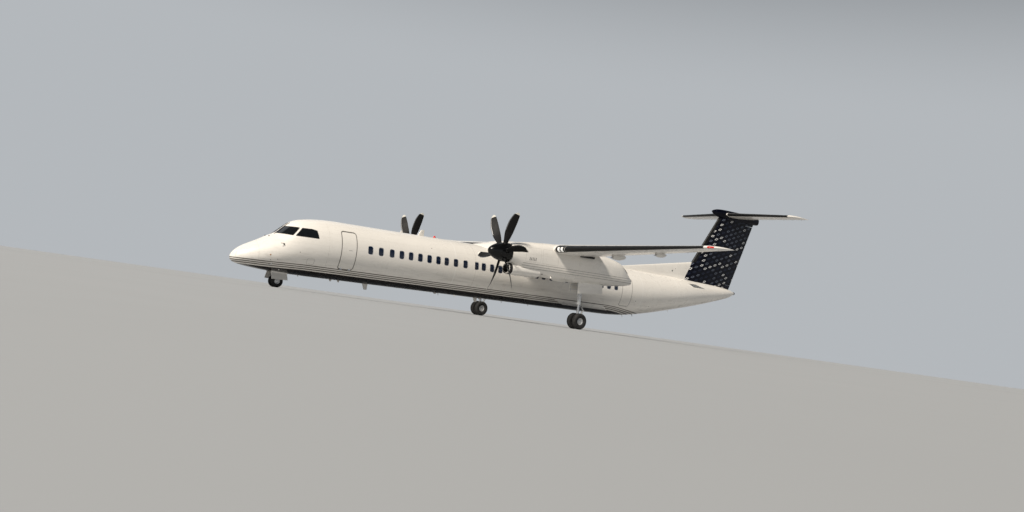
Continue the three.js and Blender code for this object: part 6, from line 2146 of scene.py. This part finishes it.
def build_nacelle_details():
    """A cooling scoop, a drain, louvres and a port on each nacelle, and a black block for the end of the
    flap's track, whose black is painted shade of the gap beside the nacelle.
    """
    row = smooth_table(NACELLE)
    scoop = []
    for s, rise, wide in SCOOP:
        head = row(s)[1] + 0.03
        angles = spread(0, math.pi, 13)
        scoop.append([port_at(s, head - (0.03 + rise) * math.sin(a), wide * math.cos(a)) for a in angles])
    keep_pair(loft(scoop, NACELLE_WHITE), "cooling_scoop", "white_paint", corner=50)

    def side_skin(s, w, rise):
        return s, w, row(s)[2] + rise

    bottom = row(17.75)[1]
    louvres = []
    for k in range(LOUVRES["count"]):
        s, (low, high) = LOUVRES["first"] + LOUVRES["pitch"] * k, LOUVRES["w"]
        start, end = side_skin(s, low, -0.004), (s + 0.012, high, row(s)[2] - 0.004)
        louvres.append((start, end, 0.012, FITTING_BLACK, 24))
    # Each row: piece, slot, and its bars
    for name, slot, rows in (
        (
            "nacelle_drain", "bright_steel",
            [((17.75, bottom + 0.01, 0.12), (17.82, bottom - 0.12, 0.12), 0.014, BRIGHT_STEEL, 24)],
        ),
        ("cowl_louvres", "black_paint", louvres),
        (
            "cowl_side_port", "black_paint",
            [(side_skin(13.34, 0.14, -0.03), side_skin(13.34, 0.14, 0.004), 0.022, FITTING_BLACK, 24)],
        ),
    ):
        keep_pair(joined(*bars(port_at, rows)), name, slot)
    side_cap = rod(port_at(13.94, 0.07, 0.44), port_at(13.94, 0.015, 0.525), 0.030, TRIM_WHITE, 0.018)
    keep_pair(side_cap, "cowl_side_cap", "white_paint", corner=60)
    # A black block in the gap beside the nacelle: the flap track's end, black as painted shade of the gap
    across = (NACELLE_Y + 0.55, OUTER_FLAP[0] - 0.009)
    keep_pair(block(TRACK_END_SHADE["s"], across, TRACK_END_SHADE["w"], FITTING_BLACK), "flap_track_end_shade", "black_paint")


def link(foot, head, breadths, thick):
    """A tapered link with a waist between two points, its breadth along Y."""
    side = (head - foot).normalized().cross(PORT).normalized() * (thick / 2)
    rings = []
    for t in spread(0, 1, 7):
        middle, waist = foot.lerp(head, t), 1 - 0.25 * math.sin(math.pi * t)
        half = PORT * (lerp(*breadths, t) / 2) * waist
        rings.append([middle - half - side, middle + half - side, middle + half + side, middle - half + side])
    return loft(rings, GEAR_GREY)


def build_main_legs():
    """Legs with chromed pistons, links, brakes and hoses."""
    s, hub = MAIN_WHEEL["s"], ground_to_axis(MAIN_WHEEL["s"], MAIN_WHEEL["radius"])
    knee = (s + 0.330, -1.325)
    leg = [
        *bars(port_at, [
            ((s, MAIN_WELL["roof"] - 0.001), (s, -1.02), 0.095, GEAR_GREY, 48),
            ((s, -0.955), (s, -1.052), 0.109, GEAR_GREY, 48),
            ((s, -0.60), (s, -0.57), 0.103, BRIGHT_STEEL, 48),
            ((s, -1.00), (s, hub + 0.05), 0.062, BRIGHT_STEEL, 40),
            ((s, hub + 0.17), (s, hub + 0.05), 0.078, GEAR_GREY, 40),
            ((s, 0.330, -0.29), (s, 0.330, 0.29), 0.058, GEAR_GREY, 32),
            ((s, hub, -0.076), (s, hub, 0.076), 0.084, GEAR_GREY, 40),
        ]),
        link(port_at(s + 0.06, -1.01), port_at(*knee), (0.130, 0.080), 0.034),
        link(port_at(*knee), port_at(s + 0.04, hub + 0.06), (0.080, 0.130), 0.034),
        *bars(port_at, [
            ((*knee, -0.062), (*knee, 0.062), 0.024, BRIGHT_STEEL, 24),
            ((s - 0.060, -0.64, -0.070), (s - 0.060, -0.64, 0.070), 0.060, GEAR_GREY, 32),
        ]),
    ]
    for way in (-1, 1):
        union = (s + 0.05, hub + 0.09)
        leg += bars(port_at, [
            ((s, hub, way * 0.084), (s, hub, way * 0.128), 0.128, ENGINE_CASTING, 40),
            ((*union, way * 0.075), (*union, way * 0.12), 0.028, FITTING_BLACK, 24),
        ])
        hose = [
            (s + 0.098, -0.35, 0.025), (s + 0.104, -0.80, 0.028), (s + 0.125, -1.06, 0.045),
            (s + 0.17, -1.25, 0.075), (s + 0.10, hub + 0.13, 0.09), (*union, 0.098),
        ]
        path = curve_through([port_at(along, w, way * y) for along, w, y in hose], 6)
        leg.append(tube(path, 0.008, FITTING_BLACK, sides=8))
    keep_pair(joined(*leg), "main_leg", "gear_paint", "main_gear_leg", corner=35)


def build_nose_leg():
    """The leg with its brace and lamp, and the piston that steers in it."""
    s, hub = NOSE_WHEEL["s"], ground_to_axis(NOSE_WHEEL["s"], NOSE_WHEEL["radius"])
    leg = bars(at, [
        ((s, 0, NOSE_WELL["roof"] - 0.001), (s, 0, -1.40), 0.068, GEAR_GREY, 48),
        ((s, 0, -1.27), (s, 0, -1.325), 0.076, GEAR_GREY, 48),
        ((s, -0.25, -0.96), (s, 0.25, -0.96), 0.040, GEAR_GREY, 32),
        ((s, 0, -1.32), (2.5, 0, -0.905), 0.026, GEAR_GREY, 24),
        ((2.49, -0.20, -0.912), (2.49, 0.20, -0.912), 0.024, GEAR_GREY, 24),
        ((s - 0.05, -0.05, -1.30), (s - 0.13, -0.05, -1.30), 0.040, FITTING_BLACK, 32),
        ((s - 0.128, -0.05, -1.30), (s - 0.137, -0.05, -1.30), 0.036, CLEAR_LENS, 32),
    ])
    carve(leg[0], "DIFFERENCE", rod(at(s, 0, -1.42), at(s, 0, -1.15), 0.047, DUCT_DARK, sides=40))
    keep(joined(*leg), "nose_leg", "gear_paint", "nose_gear_leg", corner=35)
    elbow = at(s + 0.155, 0, -1.545)
    piston = [
        *bars(at, [
            ((s, 0, -1.16), (s, 0, hub + 0.06), 0.046, BRIGHT_STEEL, 40),
            ((s, 0, -1.4085), (s, 0, -1.46), 0.076, GEAR_GREY, 48),
            ((s, -0.056, hub), (s, 0.056, hub), 0.058, GEAR_GREY, 40),
        ]),
        link(at(s + 0.05, 0, -1.435), elbow, (0.075, 0.050), 0.022),
        link(elbow, at(s + 0.03, 0, hub + 0.035), (0.050, 0.075), 0.022),
        rod(elbow - PORT * 0.035, elbow + PORT * 0.035, 0.014, BRIGHT_STEEL),
    ]
    keep(
        joined(*piston), "nose_piston", "bright_steel", "nose_steering_piston", body="nose_steering",
        corner=35,
    )


# Stiffeners of the main gear doors: the stations of the upright ones, and the depths of the two long ones
DOOR_UPRIGHTS = (15.86, 16.30, 16.75, 17.20)
DOOR_RAILS = ((0.12, 0.12), (0.34, 0.27))
DOOR_END_GAP = 0.012
DOOR_FACE = MAIN_WELL["half"] - 0.026


def build_gear_doors():
    """Stiffeners and a link on the inner face of each main gear door."""
    front, rear = MAIN_WELL["s"][0] + DOOR_END_GAP, MAIN_WELL["s"][1] - DOOR_END_GAP

    def foot_at(s):
        return lerp(DOOR_FOOT["front"], DOOR_FOOT["rear"], (s - front) / (rear - front))

    for name, side in (("outboard", 1), ("inboard", -1)):
        def face(s, below):
            lean = DOOR_FOOT["lean"] * (below - DOOR_FOOT["bend"]) / (foot_at(s) - DOOR_FOOT["bend"])
            return s, -below, side * (DOOR_FACE + lean)

        rows = [(face(s, 0.06), face(s, foot_at(s) - 0.03), 0.011, GEAR_GREY, 12) for s in DOOR_UPRIGHTS]
        for ends in DOOR_RAILS:
            rows.append((face(front + 0.03, ends[0]), face(rear - 0.03, ends[1]), 0.011, GEAR_GREY, 12))
        rows.append((face(16.70, 0.14), (16.62, 0.44, side * 0.20), 0.013, BRIGHT_STEEL, 16))
        rows.append((face(16.66, 0.14), face(16.74, 0.14), 0.024, GEAR_GREY, 16))
        keep_pair(joined(*bars(port_at, rows)), f"{name}_gear_door_stiffeners", "gear_paint")


# Aerials. Columns: name, station, 1 on top or -1 beneath, height, length, sweep
AERIALS = [
    ("top_aerial_front", 9.22, 1, 0.30, 0.34, 0.16),
    ("top_aerial_small", 8.22, 1, 0.11, 0.16, 0.05),
    ("belly_aerial_1", 6.55, -1, 0.28, 0.30, 0.12),
    ("belly_aerial_2", 12.85, -1, 0.22, 0.26, 0.10),
    ("belly_aerial_3", 4.83, -1, 0.09, 0.14, 0.04),
    ("belly_aerial_4", 5.24, -1, 0.09, 0.14, 0.04),
]
AERIAL_FOOT = 1.335


def aerial(name, s, side, height, length, sweep):
    """A blade aerial standing on or hanging from the fuselage."""
    rings = []
    for t in spread(0, 1, 6):
        outline = section(length * (1 - 0.45 * t), 0.12, 0, [0, 0.02, 0.08, 0.2, 0.4, 0.7, 1])
        rings.append([at(s + sweep * t + x, z, side * (AERIAL_FOOT + height * t)) for x, z in outline])
    keep(loft(rings, TRIM_WHITE), name, "white_paint")


# Lenses and caps with a round top. Columns: name, station, height, direction, radius, rise, finish, slot
DOMES = [
    ("beacon_top", 10.17, BARREL_RADIUS, UP, 0.07, 0.10, RED_LENS, "tinted_glass"),
    ("beacon_belly", 11.75, -BARREL_RADIUS, -UP, 0.065, 0.07, CLEAR_LENS, "tinted_glass"),
    ("belly_cap_front", 10.60, -BARREL_RADIUS, -UP, 0.085, 0.055, TRIM_WHITE, "white_paint"),
    ("belly_cap_rear", 13.25, -BARREL_RADIUS, -UP, 0.060, 0.045, TRIM_WHITE, "white_paint"),
    ("tail_lamp", 31.645, 0.88, AFT, 0.045, 0.03, CLEAR_LENS, "tinted_glass"),
]
TAIL_LAMP_COLLAR = [(0.046, -0.08), (0.085, -0.07), (0.078, 0.004), (0.046, 0.004)]


def dome(name, s, w, direction, radius, rise, finish, slot):
    arc = [(radius * math.cos(a), rise * math.sin(a)) for a in spread(0, math.pi / 2 - 0.02, 9)]
    outline = [(0.0003, -0.02), (radius, -0.02), *arc, (0.0003, rise)]
    keep(turned(outline, 32, at(s, 0, w), direction, finish), name, slot, corner=60)


def build_fittings():
    for row in AERIALS:
        aerial(*row)
    for row in DOMES:
        dome(*row)
    _, s, w, direction, *_ = DOMES[-1]
    collar = turned(TAIL_LAMP_COLLAR, 32, at(s, 0, w), direction, FITTING_BLACK)
    keep(collar, "tail_lamp_collar", "black_paint")


# Camera, light and floor

def build_stage():
    camera_data = bpy.data.cameras.new("camera")
    camera_data.sensor_width = 36
    camera_data.lens = CAMERA["focal_px"] / CAMERA["width_px"] * camera_data.sensor_width
    camera_data.clip_end = 1000
    camera = placed(camera_data)
    camera.location = (CAMERA["x"], CAMERA["y"], CAMERA["z"])
    yaw, pitch = (math.radians(AIM[key]) for key in ("yaw", "pitch"))
    aim = Vector((math.cos(pitch) * math.cos(yaw), math.cos(pitch) * math.sin(yaw), math.sin(pitch)))
    roll = Matrix.Rotation(math.radians(CAMERA["roll"]), 4, aim)
    look = aim.to_track_quat("-Z", "Y").to_matrix().to_4x4()
    camera.matrix_world = Matrix.Translation(camera.location) @ roll @ look
    bpy.context.scene.camera = camera

    corners = [(x * FLOOR_REACH, y * FLOOR_REACH, 0) for x, y in ((-1, -1), (1, -1), (1, 1), (-1, 1))]
    floor_mesh = bpy.data.meshes.new("floor")
    floor_mesh.from_pydata(corners, [], [(0, 1, 2, 3)])
    floor_mesh.materials.append(FLOOR_PALE)
    placed(floor_mesh)

    for name, direction, strength, breadth, colour in SUNS:
        sun = bpy.data.lights.new(name, "SUN")
        sun.energy, sun.angle, sun.color = strength, math.radians(breadth), colour
        lamp = placed(sun)
        lamp.rotation_mode = "QUATERNION"
        lamp.rotation_quaternion = Vector(direction).to_track_quat("-Z", "Y")
    world = bpy.data.worlds.new("studio")
    world.use_nodes = True
    tree = world.node_tree
    background = tree.nodes["Background"].inputs
    background["Strength"].default_value = SKY["strength"]
    place = value_of(tree, "ShaderNodeTexCoord", which="Generated")
    upward = value_of(tree, "ShaderNodeSeparateXYZ", {0: place}, 2)
    blend(ramp(upward, *SKY["rise"]), SKY["low"], SKY["high"]).to(background["Color"])
    bpy.context.scene.world = world
    bpy.context.scene.view_settings.view_transform = "Standard"


# Better finishes for the CAD nodes whose shape stays
CAD_FINISHES = {
    CABIN_TRIM: ["flight_deck_interior"],
    ENGINE_CASTING: ["port_engine", "starboard_engine"],
    GEAR_GREY: ["port_drag_brace", "starboard_drag_brace"],
    TRIM_WHITE: [
        f"{side}_{door}gear_door" for side in ("port", "starboard") for door in (
            "outboard_main_", "inboard_main_", "nose_"
        )
    ],
}


def finish_cad_nodes():
    for finish, nodes in CAD_FINISHES.items():
        for node in nodes:
            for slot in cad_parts[node].material_slots:
                slot.material = finish


build_stage()
build_fuselage()
build_wings()
build_nacelles()
build_propellers()
build_fin()
build_tailplane()
build_wheels()
build_main_legs()
build_nose_leg()
build_gear_doors()
build_fittings()
build_nose_details()
build_rear_details()
build_wing_details()
build_exhaust()
build_nacelle_details()
finish_cad_nodes()
